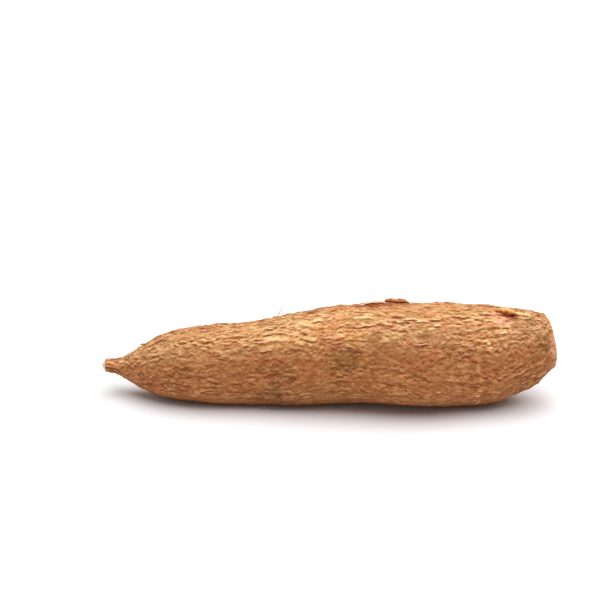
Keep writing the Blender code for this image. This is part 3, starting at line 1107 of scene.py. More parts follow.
# More stains in the root's own measures. Some paint light and shade: the dull ones on the underside and
# those at 0.256 and 0.269 along paint shade, the light ones at 0.124 and 0.127 along paint light on the left
# of the top, and the rust ones at 0.1745 and 0.184 along paint the shadow under the top roll.
STAINS = (
    Stain(0.27, 22.0, 0.01, 0.017, Worn.OLIVE, 0.6),
    Stain(0.256, 72.0, 0.03, 0.026, Worn.DULL_AND_SHADED, 0.75),
    Stain(0.26, -44.0, 0.044, 0.022, Worn.DULL_AND_SHADED, 0.7),
    Stain(0.134, -46.0, 0.056, 0.015, Worn.DULL_AND_SHADED, 0.45),
    Stain(0.108, -41.0, 0.03, 0.018, Worn.DULL_AND_SHADED, 1.0),
    Stain(0.2775, 12.0, 0.011, 0.02, Worn.DULL_AND_SHADED, 0.9),
    Stain(0.189, 66.0, 0.02, 0.014, Worn.DULL_AND_SHADED, 0.55),
    Stain(0.248, 50.0, 0.038, 0.014, Worn.DULL_AND_SHADED, 0.5),
    Stain(0.16, 44.0, 0.01, 0.009, Worn.LIGHT, 0.5),
    Stain(0.1716, 44.0, 0.011, 0.011, Worn.DULL_AND_SHADED, 0.5),
    Stain(0.193, -38.0, 0.012, 0.011, Worn.DULL_AND_SHADED, 0.6),
    Stain(0.195, 62.0, 0.016, 0.012, Worn.DULL_AND_SHADED, 0.5),
    Stain(0.16, 52.0, 0.009, 0.007, Worn.LIGHT, 0.4),
    Stain(0.108, -30.0, 0.03, 0.01, Worn.DULL_AND_SHADED, 0.4),
    Stain(0.235, -28.0, 0.01, 0.0056, Worn.REDDISH, 1.0),
    Stain(0.2265, -12.0, 0.008, 0.003, Worn.REDDISH, 0.9),
    Stain(0.1035, 0.0, 0.015, 0.0052, Worn.REDDISH, 0.9),
    Stain(0.251, 57.0, 0.015, 0.0044, Worn.PALE, 0.9),
    Stain(0.2782, 10.0, 0.008, 0.016, Worn.REDDISH, 0.5),
    Stain(0.26, 92.0, 0.019, 0.008, Worn.PALE, 0.9),
    Stain(0.215, 38.0, 0.05, 0.017, Worn.DULL_AND_SHADED, 0.45),
    # painted shadow under the top roll
    Stain(0.1745, 91.0, 0.012, 0.007, Worn.RUST_AND_SHADOW, 0.8),
    Stain(0.184, 93.0, 0.013, 0.006, Worn.RUST_AND_SHADOW, 0.6),
    Stain(0.127, 48.0, 0.054, 0.022, Worn.LIGHT, 0.9),
    Stain(0.124, 14.0, 0.026, 0.015, Worn.LIGHT, 0.5),
    Stain(0.113, 64.0, 0.038, 0.018, Worn.PALE, 0.6),
    Stain(0.179, -13.0, 0.056, 0.016, Worn.LIGHT, 0.65),
    Stain(0.154, 41.0, 0.024, 0.009, Worn.LIGHT, 0.95),
    Stain(0.233, 40.0, 0.015, 0.009, Worn.LIGHT, 0.7),
    Stain(0.2227, 25.0, 0.017, 0.011, Worn.DULL_AND_SHADED, 0.6),
    Stain(0.148, 80.0, 0.02, 0.014, Worn.LIGHT, 0.6),
    Stain(0.11, -15.0, 0.018, 0.032, Worn.DULL_AND_SHADED, 0.9),
    Stain(0.199, 50.0, 0.032, 0.013, Worn.DULL_AND_SHADED, 0.8),
    Stain(0.269, 52.0, 0.018, 0.034, Worn.DULL_AND_SHADED, 0.9),
    Stain(0.096, 18.0, 0.013, 0.011, Worn.REDDISH, 0.6),
    Stain(0.175, -34.0, 0.03, 0.008, Worn.REDDISH, 0.35),
    Stain(0.125, 62.0, 0.04, 0.014, Worn.PALE, 0.35),
    Stain(0.195, 56.0, 0.045, 0.012, Worn.PALE, 0.3),
    Stain(0.195, -34.0, 0.22, 0.028, Worn.FADED, 1.0),
    Stain(0.07, 190.0, 0.025, 0.015, Worn.REDDISH, 0.4),
    Stain(0.205, 165.0, 0.035, 0.014, Worn.GREY, 0.35),
    Stain(0.14, 220.0, 0.04, 0.012, Worn.PALE, 0.25),
)


@dataclass(frozen=True)
class Bumps:
    """One layer of rounded bumps in the bark, drawn out along the root."""

    length: float
    width: float
    low: float
    high: float
    seed: float

    def height(self, tree: Wiring, place: Socket) -> Socket:
        """Reads how high the layer stands at a place, 0 to 1.

        Args:
            tree: The tree to add to.
            place: The place on the bark.

        Returns:
            The height.
        """
        spot = tree.in_bumps(place, self.length, self.width)
        spot = tree.vector("ADD", spot, (self.seed, self.seed, self.seed))
        return tree.remap(tree.noise(spot, 1.0, 0.45)[0], self.low, self.high)

    def slope(self, tree: Wiring, place: Socket, down: Socket) -> Socket:
        """Reads how far the layer faces up or down at a place.

        Args:
            tree: The tree to add to.
            place: The place on the bark.
            down: The direction down the bark.

        Returns:
            1 on the upper side of a bump and -1 on its lower side, 0 on level bark.
        """
        step = tree.scaled(down, 0.40 * self.width)
        below = self.height(tree, tree.vector("ADD", place, step))
        above = self.height(tree, tree.vector("SUBTRACT", place, step))
        return tree.math("SUBTRACT", below, above)


@dataclass(frozen=True)
class BarkPattern:
    """The ridges, scales and grain of the bark, which its relief and its colours read alike."""

    sway: float = 0.0010
    sway_length: float = 0.0060
    sway_width: float = 0.0050
    rough_length: float = 0.020
    rough_width: float = 0.009
    calmest: float = 0.34
    roughest: float = 1.30
    ridges: Bumps = Bumps(0.0076, 0.0021, 0.50, 0.74, 0.0)
    scales: Bumps = Bumps(0.0031, 0.0019, 0.33, 0.67, 5.3)
    grain: Bumps = Bumps(0.0017, 0.0011, 0.30, 0.70, 9.7)

    def bent(self, tree: Wiring, place: Socket) -> Socket:
        """Moves the place a little to and fro, so that the ridges are wavy.

        Args:
            tree: The tree to add to.
            place: The place on the bark.

        Returns:
            The moved place.
        """
        sway = tree.noise(tree.in_bumps(place, self.sway_length, self.sway_width), 1.0, 0.5)[1]
        sway = tree.vector("SUBTRACT", sway, (0.5, 0.5, 0.5))
        return tree.vector("ADD", place, tree.scaled(sway, 2 * self.sway))

    def roughness(self, tree: Wiring, place: Socket) -> Socket:
        """Reads how rough the bark is at a place, as it is calm in some places and rough in others."""
        spot = tree.in_bumps(place, self.rough_length, self.rough_width)
        return tree.remap(tree.noise(spot, 2.0, 0.6)[0], 0.36, 0.62, self.calmest, self.roughest)


@dataclass(frozen=True)
class BarkFinish:
    """Dry scaly bark: tan on the scales, with painted highlight on their upper sides and red-brown painted
    shadow below them, and paler on top than on the sides as painted light.
    """

    pattern: BarkPattern
    # painted shadow below the ridges
    ridge_shadow: Colour = srgb(134, 70, 28)
    side_dark: Colour = srgb(119, 63, 26)
    side: Colour = srgb(168, 104, 55)
    side_light: Colour = srgb(206, 145, 92)
    # the top colours: a paler copy of the side colours, painted light from above
    lit_top_dark: Colour = srgb(150, 88, 42)
    top: Colour = srgb(206, 148, 96)
    lit_top_light: Colour = srgb(242, 200, 150)
    inner: Colour = srgb(222, 154, 110)
    inner_light: Colour = srgb(244, 196, 152)
    inner_dark: Colour = srgb(168, 94, 54)
    plain: Colour = (1.0, 1.0, 1.0, 1.0)
    warm: Colour = (0.93, 0.84, 0.76, 1.0)
    greenish: Colour = (0.96, 1.02, 0.92, 1.0)
    reddish: Colour = (1.04, 0.97, 0.98, 1.0)
    speck_size: tuple[float, float] = (0.0019, 0.0013)
    blotch_size: tuple[float, float] = (0.0060, 0.0034)
    mottle_size: tuple[float, float] = (0.028, 0.014)
    patch_size: tuple[float, float] = (0.0110, 0.0065)
    fibre_size: tuple[float, float] = (0.0050, 0.0012)
    tone_stops: tuple[float, float, float] = (0.15, 0.50, 0.85)
    inner_stops: tuple[float, float, float] = (0.34, 0.47, 0.64)
    ridges_and_scales: float = 0.84
    grain_share: float = 0.16
    speck_share: float = 0.78
    blotch_share: float = 0.70
    warm_share: float = 0.8
    ridge_shadow_share: float = 0.52
    inner_share: float = 0.30
    roughness: tuple[float, float] = (0.92, 0.70)
    gloss: float = 0.4
    finest: float = 0.00022

    def material(self) -> Material:
        """Sets up the material, which reads the attributes that the skin keeps."""
        surface = SurfaceTree("scaly_bark")
        place = surface.attribute("bark_place")["Vector"]
        down = surface.attribute("free_side")["Vector"]
        topness = surface.attribute("topness")["Fac"]
        bent = self.pattern.bent(surface, place)
        ridge = self.pattern.ridges.slope(surface, bent, down)
        scale = self.pattern.scales.slope(surface, bent, down)
        grain = self.pattern.grain.slope(surface, bent, down)
        rough = self.pattern.roughness(surface, place)
        ridged = surface.attribute("ridged")["Fac"]
        # the slopes of the bumps, painted as highlight on their upper sides and shade on their lower sides
        relief = surface.total(
            surface.times(ridge, ridged),
            surface.times(scale, surface.math("SUBTRACT", self.ridges_and_scales, ridged)),
            surface.times(grain, self.grain_share),
        )
        # how strongly the slopes are painted as highlight and shade
        shading_share = surface.times(rough, surface.attribute("contrast")["Fac"])
        speck = surface.noise(surface.in_bumps(bent, *self.speck_size), 2.0, 0.6)[0]
        blotch = surface.noise(surface.in_bumps(bent, *self.blotch_size), 2.0)[0]
        tone = surface.total(
            0.5,
            surface.times(relief, shading_share),
            self._around_zero(surface, speck, self.speck_share),
            self._around_zero(surface, blotch, self.blotch_share),
        )
        # the ramps turn painted highlight and shade into lighter and darker colours; the top ramp is a paler
        # copy of the side ramp, painted light from above
        side = surface.ramp(tone, *zip(self.tone_stops, (self.side_dark, self.side, self.side_light)))
        top = surface.ramp(tone, *zip(self.tone_stops, (self.lit_top_dark, self.top, self.lit_top_light)))
        colour = surface.blend(topness, side, top)
        mottle = surface.noise(surface.in_bumps(place, *self.mottle_size), 2.0)[0]
        warm = surface.ramp(mottle, (0.32, self.warm), (0.56, self.plain))
        colour = surface.blend(self.warm_share, colour, warm, "MULTIPLY")
        patches = surface.noise(surface.in_bumps(place, *self.patch_size), 1.0)[0]
        hue = surface.ramp(patches, (0.36, self.greenish), (0.64, self.reddish))
        colour = surface.blend(1.0, colour, hue, "MULTIPLY")
        # painted shadow below the ridges, where they slope down
        below = surface.remap(ridge, -0.75, -0.20, 1.0, 0.0)
        shown = surface.times(below, surface.attribute("strength")["Fac"])
        colour = surface.blend(surface.remap(shown, 0.0, 1.0, 0.0, self.ridge_shadow_share), colour, self.ridge_shadow)
        fibres = surface.noise(surface.in_bumps(bent, *self.fibre_size), 3.0, 0.6)[0]
        fibres = surface.total(fibres, self._around_zero(surface, tone, self.inner_share))
        inner_colours = (self.inner_dark, self.inner, self.inner_light)
        inner = surface.ramp(fibres, *zip(self.inner_stops, inner_colours))
        colour = surface.blend(surface.attribute("bare")["Fac"], colour, inner)
        # stains, with painted shadow, painted shade and painted light among them
        colour = surface.blend(1.0, colour, surface.attribute("stain")["Color"], "MULTIPLY")
        surface.coat(colour, surface.remap(tone, 0.2, 0.9, *self.roughness), self.gloss)
        surface.bump(surface.total(speck, self.pattern.grain.height(surface, bent)), self.finest, 0.9)
        return surface.material

    @staticmethod
    def _around_zero(surface: Wiring, value: Source, share: float) -> Socket:
        """Scales how far a number is from 0.5."""
        return surface.times(surface.math("SUBTRACT", value, 0.5), share)


@dataclass(frozen=True)
class CurlFinish:
    """Bark that has curled away, seen from its inner side, paler where it faces up and darker where it faces
    down as painted light and shade.
    """

    name: str
    light: Colour
    middle: Colour
    dark: Colour
    # how far facing up or down moves the colour: painted light and shade
    spread: float = 0.16
    roughness: float = 0.75
    gloss: float = 0.4
    streak: tuple[float, float] = (0.0040, 0.0009)

    def material(self) -> Material:
        """Sets up the material, with its streaks drawn out along the root."""
        surface = SurfaceTree(self.name)
        place = surface.in_bumps(surface.place(), *self.streak)
        grain = surface.noise(place, 3.0, 0.6)[0]
        # faces that look up are painted lighter and faces that look down darker
        upwards = surface.parts(surface.node("ShaderNodeNewGeometry").outputs["Normal"])[2]
        share = surface.total(grain, surface.remap(upwards, -0.4, 0.95, -self.spread, self.spread))
        colour = surface.ramp(share, (0.30, self.dark), (0.48, self.middle), (0.66, self.light))
        surface.coat(colour, self.roughness, self.gloss)
        surface.bump(grain, 0.0003, 0.8)
        return surface.material


PEELED_BARK = CurlFinish("peeled_bark", srgb(244, 198, 124), srgb(224, 152, 76), srgb(156, 74, 26))
CURLED_BARK = CurlFinish("curled_bark", srgb(242, 198, 168), srgb(222, 158, 112), srgb(156, 82, 38))
CRUMBLED_BARK = CurlFinish("crumbled_bark", srgb(248, 214, 160), srgb(230, 176, 112), srgb(160, 94, 42))
ROLLED_BARK = CurlFinish("rolled_bark", srgb(206, 140, 84), srgb(148, 80, 28), srgb(96, 40, 6), 0.10)


@dataclass(frozen=True)
class FlakeFinish:
    """Loose scales of bark, coloured like the bark around them, with a tint for each scale, and paler on top
    than on the sides as painted light.
    """

    name: str = "loose_scales"
    side: Colour = srgb(180, 122, 78)
    side_dark: Colour = srgb(134, 78, 44)
    top: Colour = srgb(216, 164, 110)
    lit_top_light: Colour = srgb(240, 198, 146)
    lit_top_dark: Colour = srgb(168, 108, 62)
    roughness: float = 0.8
    gloss: float = 0.4
    streak: tuple[float, float] = (0.0030, 0.0009)

    def material(self) -> Material:
        """Sets up the material, which reads each scale's tint and how far up the root it lies, and gives
        scales on top the paler colours of painted light.
        """
        surface = SurfaceTree(self.name)
        place = surface.in_bumps(surface.place(), *self.streak)
        grain = surface.noise(place, 3.0, 0.6)[0]
        share = surface.total(grain, surface.attribute("tint")["Fac"])
        side = surface.ramp(share, (0.28, self.side_dark), (0.56, self.side))
        top = surface.ramp(share, (0.26, self.lit_top_dark), (0.48, self.top), (0.74, self.lit_top_light))
        # the paler top colours are painted light from above
        colour = surface.blend(surface.attribute("topness")["Fac"], side, top)
        surface.coat(colour, self.roughness, self.gloss)
        surface.bump(grain, 0.0003, 0.8)
        return surface.material


# the plates' colours, paler on top as painted light from above
PLATE_FINISH = FlakeFinish(
    "standing_plates",
    side=srgb(190, 128, 82),
    side_dark=srgb(142, 84, 48),
    top=srgb(222, 170, 118),
    lit_top_light=srgb(250, 216, 164),
    lit_top_dark=srgb(176, 114, 66),
)


@dataclass(frozen=True)
class CutFinish:
    """The cut face: cream flesh with pale fibres, a pink peel and a thin brown rim."""

    name: str = "cut_flesh"
    flesh: Colour = srgb(250, 238, 204)
    flesh_deep: Colour = srgb(240, 220, 176)
    ring: Colour = srgb(218, 176, 132)
    peel: Colour = srgb(242, 214, 186)
    rim: Colour = srgb(206, 142, 104)
    ring_at: float = 0.845
    peel_at: float = 0.865
    rim_at: float = 0.955
    roughness: float = 0.5
    glow: float = 0.12
    glow_depth: float = 0.002
    fibres_per_metre: float = 900.0
    clouds_per_metre: float = 160.0

    def material(self) -> Material:
        """Sets up the material, which reads how far each point lies towards the rim."""
        surface = SurfaceTree(self.name)
        out = surface.attribute("towards_rim")["Fac"]
        place = surface.place()
        fibre = surface.noise(surface.scaled(place, self.fibres_per_metre), 3.0)[0]
        cloud = surface.noise(surface.scaled(place, self.clouds_per_metre), 2.0)[0]
        flesh = surface.blend(surface.remap(cloud, 0.35, 0.70), self.flesh, self.flesh_deep)
        flesh = surface.blend(surface.remap(fibre, 0.58, 0.72, 0.0, 0.4), flesh, self.flesh_deep)
        core = surface.remap(out, 0.02, 0.16, 0.5, 0.0)
        flesh = surface.blend(core, flesh, self.ring)
        ragged = surface.total(out, surface.times(surface.math("SUBTRACT", fibre, 0.5), 0.05))
        colour = surface.blend(surface.remap(ragged, self.ring_at - 0.015, self.ring_at), flesh, self.ring)
        in_peel = surface.remap(ragged, self.peel_at - 0.01, self.peel_at + 0.01)
        in_rim = surface.remap(ragged, self.rim_at - 0.01, self.rim_at + 0.015)
        colour = surface.blend(in_rim, surface.blend(in_peel, colour, self.peel), self.rim)
        surface.coat(colour, self.roughness)
        surface.shader.inputs["Subsurface Weight"].default_value = self.glow
        surface.shader.inputs["Subsurface Scale"].default_value = self.glow_depth
        surface.bump(fibre, 0.0002, 0.6)
        return surface.material


@dataclass(frozen=True)
class HairFinish:
    """Dry hair roots, pale and a little shiny."""

    pale: Colour = srgb(238, 192, 152)
    brown: Colour = srgb(190, 130, 88)
    roughness: float = 0.7
    streaks_per_metre: float = 700.0

    def material(self) -> Material:
        """Sets up the material."""
        surface = SurfaceTree("dry_hair_root")
        place = surface.scaled(surface.place(), self.streaks_per_metre)
        share = surface.noise(place, 2.0)[0]
        surface.coat(surface.blend(share, self.brown, self.pale), self.roughness)
        surface.bump(share, 0.0002, 0.5)
        return surface.material


@dataclass
class BarkSkin:
    """The bark all over the root, with its scales, ridges, grooves and bare places."""

    form: RootForm
    pattern: BarkPattern
    marks: BarkMarks
    rings: int = 232
    sides: int = 416
    ridge_height: float = 0.00050
    scale_height: float = 0.00040
    grain_height: float = 0.00018
    bare_depth: float = 0.0007
    gap_depth: float = 0.00030
    # pale tint and painted highlight on the plates, and painted shadow in the gap below them
    ledge_pale_and_highlight: Colour = (1.38, 1.68, 1.86, 1.0)
    ledge_gap_shadow: Colour = (0.50, 0.30, 0.17, 1.0)
    ring_light: tuple[float, float, float] = (0.28, 0.42, 0.50)
    # which way down the bark the painted shade below each bump falls
    shade_down_towards: float = 42.0
    strength: tuple[float, float, float] = (0.88, -0.48, 0.42)
    # how strongly the finish paints highlight and shade on the slopes, below, on the sides and on top
    contrast: tuple[float, float, float] = (0.68, -0.30, 0.21)
    ridged: tuple[float, float, float] = (0.52, -0.17, 0.10)
    rim_rolls: tuple[tuple[float, float], ...] = ((0.0002, 0.00005), (0.0006, -0.0002), (0.0012, -0.0012))

    def build(self, material: Material) -> Piece:
        """Builds the skin and raises its relief.

        Args:
            material: The bark's finish.

        Returns:
            The object.
        """
        walked = np.linspace(0.0, float(self.form.walked(self.form.length)), self.rings)
        along = self.form.along_at(walked)
        self._along, self._around = np.meshgrid(along, all_round(self.sides), indexing="ij")
        self._girth = self.form.girth(self._along)
        body = self.form.points(self._along, self._around)
        rows = [*self._rolled(body[0], -1)[::-1], *body, *self._rolled(body[-1], 1)]
        skin = closed_piece("root_bark", rows)
        self._keep(skin, walked)
        self._relief_tree(material).run(skin)
        return skin

    def _rolled(self, rim: Array, way: int) -> list[Array]:
        """Rows that turn the bark's edge inwards, where a cut face closes it.

        Args:
            rim: The last row of the bark.
            way: 1 at the stem end and -1 at the tail.

        Returns:
            The rows, from the rim inwards.
        """
        middle = rim.mean(axis=0)
        reach = np.linalg.norm((rim - middle)[:, 1:], axis=1, keepdims=True)
        rows = []
        for inwards, outwards in self.rim_rolls:
            row = middle + (rim - middle) * (1 - inwards / reach)
            row[:, 0] = rim[:, 0] + way * outwards
            rows.append(row)
        return rows

    def _keep(self, skin: Piece, walked: Array) -> None:
        """Keeps what the relief and the finish read: the place on the bark, and what is special there.

        Args:
            skin: The object.
            walked: Distance along the bark of each ring.
        """
        along, around = self._along, self._around
        level = np.zeros(along.shape)
        distance = np.broadcast_to(walked[:, None], along.shape)
        outwards = np.stack([level, -np.cos(around), np.sin(around)], axis=-1)
        place = np.concatenate([distance[..., None], self._girth[..., None] * outwards[..., 1:]], axis=-1)
        turned = np.clip(3 * np.cos(around - math.radians(self.shade_down_towards)), -1, 1)
        # the way down the bark, along which the finish paints shade below each bump
        free_side = np.stack([level, -turned * np.sin(around), -turned * np.cos(around)], axis=-1)
        to_cut = self.form.length - along
        bare = np.maximum(self._bare(), smooth_step(0.0011, 0.0003, to_cut))
        ends = smooth_step(0.0, 0.004, along) * smooth_step(0.0, 0.003, to_cut)
        ring_height, ring_pale = self._rings()
        ledge_height, on_ledge, ledge_colour = self._ledges()
        filled = self.bare_depth * bare * smooth_step(0.0050, 0.0015, to_cut)
        facing_up = np.sin(around)
        off_floor = smooth_step(-0.25, 0.20, facing_up)
        topness = share_of_top(facing_up)
        high_up = smooth_step(0.25, 0.85, facing_up)
        strength = self._by_height(self.strength, off_floor, high_up)
        kept = {
            "bark_place": place,
            "outwards": outwards,
            "free_side": free_side,
            "strength": ends * strength * (1 - 0.6 * bare) * (1 - 0.6 * on_ledge),
            # strength of the painted highlight and shade on the slopes
            "contrast": self._by_height(self.contrast, off_floor, topness) * (1 - 0.7 * on_ledge),
            "ridged": self._by_height(self.ridged, off_floor, topness),
            "bare": bare,
            "topness": topness,
            "mark_height": self._knobs() + ring_height + ledge_height + filled,
            "flaky": self._flaky(bare) * (1 - on_ledge),
            # stains, with the plates' pale tint, painted highlight and the painted shadow in their gaps
            "stain": self._stains(ring_pale) * ledge_colour,
        }
        extra = len(self.rim_rolls)
        for name, values in kept.items():
            rows = np.concatenate([values[:1]] * extra + [values] + [values[-1:]] * extra)
            flat = rows.reshape(len(rows) * self.sides, -1)
            keep_attribute(skin, name, np.concatenate([flat, flat[:1], flat[-1:]]))

    @staticmethod
    def _by_height(amounts: tuple[float, float, float], off_floor: Array, high_up: Array) -> Array:
        """Works out a value that changes from the underside over the sides to the top.

        Args:
            amounts: The value below, and what the sides and the top add to it.
            off_floor: How far each point is off the floor, 0 to 1.
            high_up: How far each point is up on top, 0 to 1.

        Returns:
            The value at each point.
        """
        below, sides, top = amounts
        return below + sides * off_floor + top * high_up

    def _bare(self) -> Array:
        """Works out how bare each point is, with ragged edges.

        Returns:
            0 where the bark is whole and 1 where it has come off.
        """
        bare = np.zeros(self._along.shape)
        for place in BARE_PLACES:
            off = self._off(place)
            ragged = self._noise_near(off < 1.9, 0.0030, 0.0011, 3.7)
            bare = np.maximum(bare, smooth_step(1.06, 0.94, off + place.raggedness * ragged))
        return bare

    def _flaky(self, bare: Array) -> Array:
        """Works out how many flakes the bark carries at each point, most on top and few below.

        Args:
            bare: How bare each point is.

        Returns:
            The share of the full density.
        """
        along, above = self._along, np.sin(self._around)
        top = 0.15 * smooth_step(-0.75, -0.55, above) + 0.85 * smooth_step(0.32, 0.75, above)
        ends = smooth_step(0.004, 0.030, along) * smooth_step(0.006, 0.016, self.form.length - along)
        patchy = self._noise_near(top > 0, 0.022, 0.010, 5.3)
        return np.clip(top * ends * (0.50 + 0.9 * patchy) * (1 - 0.85 * bare), 0, 1)

    def _stains(self, pale: Array) -> Array:
        """Works out what the stains leave of the bark's colour at each point, with the painted light and
        shade that some of them carry.

        Args:
            pale: How pale the rings make each point.

        Returns:
            The share of each colour, with a 1 after them.
        """
        left = np.ones((*self._along.shape, 4))
        left[..., :3] += pale[..., None] * np.array(self.ring_light)
        for mark in self.marks.stains:
            off = self._off(mark)
            ragged = self._noise_near(off < 1.9, 0.0060, 0.0020, 9.1)
            share = mark.strength * smooth_step(1.15, 0.45, off + 0.7 * ragged)
            left[..., :3] *= 1 + share[..., None] * (np.array(mark.worn.value) - 1)
        return left

    def _rings(self) -> tuple[Array, Array]:
        """Works out the height and the paleness of the rings at each point.

        Returns:
            The height, which is below 0 beside a ring, and how pale the bark is.
        """
        along, around = self._along, self._around
        high, pale = np.zeros(along.shape), np.zeros(along.shape)
        for ring in RINGS:
            wander = 0.0011 * np.sin(5 * around + 300 * ring.along) + 0.0005 * np.sin(17 * around)
            off = (along - ring.along + wander) / ring.width
            turn = np.abs(wrapped(around - math.radians(ring.around)))
            reach = smooth_step(1.0, 0.6, turn / math.radians(ring.spread))
            broken = 0.65 + 0.35 * np.sin(31 * around + 900 * ring.along)
            high += ring.height * reach * (1.5 * np.exp(-(off**2)) - np.exp(-((off / 2.2) ** 2)))
            pale = np.maximum(pale, ring.pale * reach * broken * np.exp(-(off**2)))
        return high, pale

    def _ledges(self) -> tuple[Array, Array, Array]:
        """Works out what the plates that stand out do at each point.

        Returns:
            The height, how far the point is on a plate, and the share of each colour, with a 1 after them: a
            pale tint with painted highlight on the plate and painted shadow in the gap.
        """
        along, around = self._along, self._around
        high, on_ledge = np.zeros(along.shape), np.zeros(along.shape)
        colour = np.ones((*along.shape, 4))
        light, dark = np.array(self.ledge_pale_and_highlight) - 1, np.array(self.ledge_gap_shadow) - 1
        for ledge in self.marks.ledges:
            turn = wrapped(math.radians(ledge.around) - around)
            plate, gap = ledge.place(along, turn * self._girth)
            high -= self.gap_depth * ledge.dark * gap
            on_ledge = np.maximum(on_ledge, np.maximum(plate, gap))
            # pale tint and painted highlight on the plate, painted shadow in the gap below it
            colour *= 1 + ledge.pale * plate[..., None] * light
            colour *= 1 + min(ledge.dark, 1.0) * gap[..., None] * dark
        return high, on_ledge, colour

    def _knobs(self) -> Array:
        """Works out how high the small scars stand at each point."""
        high = np.zeros(self._along.shape)
        for knob in self.marks.knobs:
            turn = wrapped(self._around - math.radians(knob.around))
            off = np.hypot(self._along - knob.along, turn * self._girth) / knob.size
            high = np.maximum(high, knob.height * smooth_step(1.2, 0.3, off))
        return high

    def _off(self, place: Bare | Stain) -> Array:
        """How far each point is from the middle of a place, where 1 is the edge of its oval."""
        turn = wrapped(self._around - math.radians(place.around))
        across = turn * self._girth / (place.width / 2)
        return np.hypot((self._along - place.along) / (place.length / 2), across)

    def _noise_near(self, near: Array, length: float, width: float, seed: float) -> Array:
        """Reads drawn-out noise at the points that are near, and leaves 0 at the others.

        Args:
            near: Which points to read it at.
            length: Size of its bumps along the root.
            width: Size of its bumps round the root.
            seed: Moves the pattern.

        Returns:
            The noise, about -1 to 1.
        """
        values = np.zeros(near.shape)
        girth = self._girth / width
        for i, j in zip(*np.nonzero(near)):
            turn = self._around[i, j]
            across = girth[i, j] * math.cos(turn) + seed
            spot = (self._along[i, j] / length, across, girth[i, j] * math.sin(turn))
            values[i, j] = noise.noise(Vector(spot))
        return values

    def _relief_tree(self, material: Material) -> GeometryTree:
        """Builds the tree that raises scales and ridges from the smooth skin.

        Args:
            material: The bark's finish.

        Returns:
            The tree, ready to run.
        """
        tree = GeometryTree(
            "bark_relief",
            {
                "Ridge Height": self.ridge_height,
                "Scale Height": self.scale_height,
                "Grain Height": self.grain_height,
                "Bare Depth": self.bare_depth,
                "Material": material,
            },
        )
        size = tree.inputs
        place = tree.attribute("bark_place", "FLOAT_VECTOR")
        bent = self.pattern.bent(tree, place)
        ridged = tree.remap(tree.attribute("ridged"), 0.0, 0.5)
        ridge_height = tree.times(size["Ridge Height"], ridged)
        raised = tree.total(
            tree.times(ridge_height, self.pattern.ridges.height(tree, bent)),
            tree.times(size["Scale Height"], self.pattern.scales.height(tree, bent)),
            tree.times(size["Grain Height"], self.pattern.grain.height(tree, bent)),
        )
        strong = tree.times(tree.attribute("strength"), self.pattern.roughness(tree, place))
        settled = tree.times(tree.math("ADD", ridge_height, size["Scale Height"]), 0.4)
        height = tree.total(
            tree.times(strong, tree.math("SUBTRACT", raised, settled)),
            tree.attribute("mark_height"),
            tree.times(tree.attribute("bare"), tree.times(size["Bare Depth"], -1.0)),
        )
        normal = tree.node("GeometryNodeInputNormal").outputs[0]
        moved = tree.moved(size["Geometry"], tree.scaled(normal, height))
        spot = tree.parts(tree.node("GeometryNodeInputPosition").outputs[0])
        pressed = tree.math("MAXIMUM", tree.times(spot[2], -1.0), 0.0)
        moved = tree.moved(moved, tree.vector_of(0.0, 0.0, pressed))
        tree.finish(moved)
        return tree


